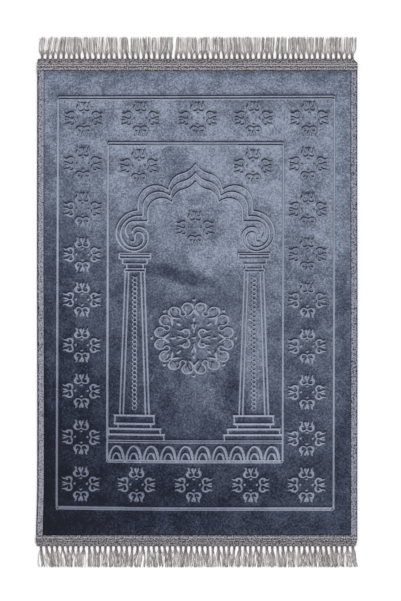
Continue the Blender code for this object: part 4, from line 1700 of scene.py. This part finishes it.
def tape_material(groups):
    """Two-tone woven tape: light slanting threads over dark ones, and a dotted cord."""
    mat, tree, shader, place = new_material("woven_side_tape", 0.82, TRIM_SHEEN)
    slants, dotted, woven = TAPE_CONTRAST
    weave = use_group(tree, groups["plain_weave"], Vector=place, Thread=TAPE_THREAD)
    turn = maths(tree, "MULTIPLY", split_up(tree, place)["Y"], 2 * math.pi / TAPE_DOTS)
    dots = maths(tree, "MULTIPLY", maths(tree, "SINE", turn), attribute(tree, "cord"))
    tone = varied(tree, attribute(tree, "tone"), attribute(tree, "thread"), slants)
    tone = maths(tree, "MULTIPLY_ADD", dots, dotted, tone)
    tone = varied(tree, tone, weave["Over"], woven)
    finish_trim(tree, groups, shader, place, tone, weave["Height"], TAPE_LOOK)
    return mat


BRAID_THREAD = 0.0011
BRAID_CONTRAST = (0.16, 0.10)       # of its stitches and its weave


def braid_material(groups):
    """Grey braid: light ribs on a darker ground, in slanting stitches."""
    mat, tree, shader, place = new_material("ribbed_braid", 0.82, TRIM_SHEEN)
    stitched, woven = BRAID_CONTRAST
    weave = use_group(tree, groups["plain_weave"], Vector=place, Thread=BRAID_THREAD)
    tone = varied(tree, attribute(tree, "tone"), attribute(tree, "stitch"), stitched)
    tone = varied(tree, tone, weave["Over"], woven)
    finish_trim(tree, groups, shader, place, tone, weave["Height"], BRAID_LOOK)
    return mat


def twist_bands(tree, turns):
    """Light and dark bands that wind round a two-ply yarn."""
    wound = maths(tree, "MULTIPLY_ADD", attribute(tree, "along"), turns, attribute(tree, "around"))
    return maths(tree, "MULTIPLY_ADD", maths(tree, "SINE", maths(tree, "MULTIPLY", wound, 2 * math.pi)),
                 0.5, 0.5)


CORD_TWIST = (420.0, 0.2)           # turns along a cord, and their contrast


def knot_material(groups):
    """The knotted rows: dark grey yarn with light crossing cords."""
    mat, tree, shader, place = new_material("knotted_yarn", 0.85, TRIM_SHEEN)
    turns, contrast = CORD_TWIST
    bands = twist_bands(tree, turns)
    tone = maths(tree, "MULTIPLY_ADD", bands, contrast, attribute(tree, "tone"))
    finish_trim(tree, groups, shader, place, tone, bands, KNOT_LOOK)
    return mat


YARN_FINISH = (0.80, 0.20)
YARN_TWIST = (22.0, 0.22)           # turns along a yarn, and their contrast
YARN_SPECKLE = (0.0030, 0.6)
YARN_COLOURS = ((76, 73, 75), (244, 240, 235))      # the darkest and the lightest
YARN_CLOUDS = (                     # size, spread, share and colour
    (0.012, 0.12, 0.22, (196, 168, 176)),
    (0.019, 0.10, 0.10, (170, 182, 164)),
)
YARN_DARK_ROOT = (0.05, 0.50, 0.80, 0.0)            # share of its length: from, to, how dark it is at each; partly painted shade where the yarns bunch at the knot, partly their tighter twist there
YARN_ROOT_COLOUR = (78, 75, 78)
YARN_ROUGHNESS = (0.72, 0.92)
YARN_RELIEF = (0.5, 0.5, 0.0003)                    # share of the grain, strength and height


def yarn_material(groups):
    """Loose two-ply yarn, dark to light warm grey, darker where it leaves the knots, partly by painted shade
    where the yarns bunch.
    """
    mat, tree, shader, place = new_material("loose_yarn", *YARN_FINISH)
    turns, contrast = YARN_TWIST
    bands = twist_bands(tree, turns)
    tone = varied(tree, attribute(tree, "tone"), bands, contrast)
    tone, grain = speckled(tree, groups, place, tone, *YARN_SPECKLE)
    dark, light = YARN_COLOURS
    base = mixed(tree, tone, colour(*dark), colour(*light))
    for cloud in YARN_CLOUDS:
        base = clouded(tree, groups, place, base, cloud)
    root = ranged(tree, attribute(tree, "along"), *YARN_DARK_ROOT, smooth_ends=True)
    base = mixed(tree, root, base, colour(*YARN_ROOT_COLOUR))
    feed(tree, shader.inputs["Base Color"], base)
    feed(tree, shader.inputs["Roughness"], ranged(tree, grain["Grain"], 0.0, 1.0, *YARN_ROUGHNESS))
    fibre, strength, height = YARN_RELIEF
    add_bump(tree, shader, maths(tree, "MULTIPLY_ADD", grain["Height"], fibre, bands), strength, height)
    return mat


def floor_material(groups):
    """A pale, nearly even studio floor."""
    mat, tree, shader, place = new_material("pale_floor", 0.9, 0.0)
    cloud = use_group(tree, groups["slow_cloud"], Vector=place, Size=0.8, Spread=0.4)["Cloud"]
    feed(tree, shader.inputs["Base Color"], mixed(tree, cloud, colour(246, 246, 246), colour(250, 250, 249)))
    return mat


# --- Studio -------------------------------------------------------------------------------------
FLOOR_DROP = 0.0006         # the floor lies just under the rug
FLOOR_HALF = 6.0
VIEW_MIDDLE = (0.0091, 0.0034)
VIEW_HEIGHT = 1.5007        # length of floor that the picture's height takes in
VIEW_FAR = 50.0
LENS = 100.0
SENSOR = 36.0
KEY_FROM = (0.36, 0.93, 0.80)       # the way towards the main light
KEY_STRENGTH = 2.35
KEY_SOFTNESS = 14.0
WORLD_STRENGTH = 0.62


def build_floor(mat):
    points = [(x * FLOOR_HALF, y * FLOOR_HALF, -FLOOR_DROP) for x, y in ((-1, -1), (1, -1), (1, 1), (-1, 1))]
    floor = add_piece("floor", points, [(0, 1, 2, 3)], [mat])
    return floor


def build_lights():
    """One soft main light from beyond the top of the rug, and an even surround."""
    key = bpy.data.lights.new("main_light", "SUN")
    key.energy = KEY_STRENGTH
    key.angle = math.radians(KEY_SOFTNESS)
    lamp = bpy.data.objects.new("main_light", key)
    lamp.rotation_mode = "QUATERNION"
    lamp.rotation_quaternion = Vector(KEY_FROM).to_track_quat("Z", "Y")
    lamp.location = Vector(KEY_FROM) * 3
    bpy.context.scene.collection.objects.link(lamp)
    world = bpy.data.worlds.new("studio_surround")
    world.use_nodes = True
    surround = world.node_tree.nodes["Background"]
    surround.inputs["Color"].default_value = (1.0, 1.0, 1.0, 1.0)
    surround.inputs["Strength"].default_value = WORLD_STRENGTH
    bpy.context.scene.world = world
    bpy.context.scene.view_settings.view_transform = "Standard"


def build_camera():
    """Straight above the rug, with the niche pointing up the picture."""
    camera = bpy.data.cameras.new("camera")
    camera.lens = LENS
    camera.sensor_width = SENSOR
    away = VIEW_HEIGHT * LENS / SENSOR
    eye = bpy.data.objects.new("camera", camera)
    eye.location = (*VIEW_MIDDLE, away)
    camera.clip_end = VIEW_FAR
    bpy.context.scene.collection.objects.link(eye)
    bpy.context.scene.camera = eye


# --- The whole rug ------------------------------------------------------------------------------
def attach(piece, node):
    """The piece rides with the rug and stands for a CAD node, which it hides."""
    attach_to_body(piece, "root")
    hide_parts(node)


# Its ends: their outer edge, the way out, how far the right side stops short, and the braid's inner edge.
ENDS = (
    SimpleNamespace(
        name="top", lip=TOP_LIP, way=1, short=0.0, inner=TOP_BRAID_INNER,
        ribs=TOP_RIBS, tones=TOP_TONES,
        knots=TOP_KNOTS, corners=TOP_CORNERS, knot_tones=TOP_KNOT_TONES, knot_seed=3,
        tufts_in=TOP_TUFTS_IN, fan=TOP_FAN, length=TOP_FRINGE_END - TOP_LIP - GAP - TOP_KNOTS,
        waviness=1.0, lightness=1.14, yarn_seed=21),
    SimpleNamespace(
        name="lower", lip=LOWER_LIP, way=-1, short=LOWER_SHIFT, inner=LOWER_BRAID_INNER,
        ribs=LOWER_RIBS, tones=LOWER_TONES,
        knots=LOWER_KNOTS, corners=LOWER_CORNERS, knot_tones=LOWER_KNOT_TONES, knot_seed=4,
        tufts_in=LOWER_TUFTS_IN, fan=LOWER_FAN, length=LOWER_LIP - GAP - LOWER_KNOTS - LOWER_FRINGE_END,
        waviness=1.5, lightness=0.83, yarn_seed=34),
)


def main():
    groups = {group.name: group for group in (fibre_grain_group(), slow_cloud_group(),
                                              plain_weave_group(), brushed_patch_group())}
    build_floor(floor_material(groups))
    build_lights()
    build_camera()
    velvet = build_velvet(velvet_material(groups), backing_material(groups))
    attach(velvet, "velvet_panel")
    tape, ribbed, knotted, loose = (make(groups) for make in (tape_material, braid_material,
                                                              knot_material, yarn_material))
    tapes = [build_tape("tape_left_woven", left_side, 1, LEFT_TONES, tape),
             build_tape("tape_right_woven", right_side, -1, RIGHT_TONES, tape)]
    braids = [build_braid(end, ribbed) for end in ENDS]
    knots = [build_knots(end, knotted) for end in ENDS]
    yarns = [build_yarns(end, loose) for end in ENDS]
    for pieces, slot, nodes in ((tapes, "side_tape", ("tape_left", "tape_right")),
                                (braids, "end_braid", ("braid_top", "braid_lower")),
                                (knots, "fringe_yarn", ("fringe_top", "fringe_lower")),
                                (yarns, "fringe_yarn", ("fringe_top", "fringe_lower"))):
        for piece, node in zip(pieces, nodes):
            attach(piece, node)


main()
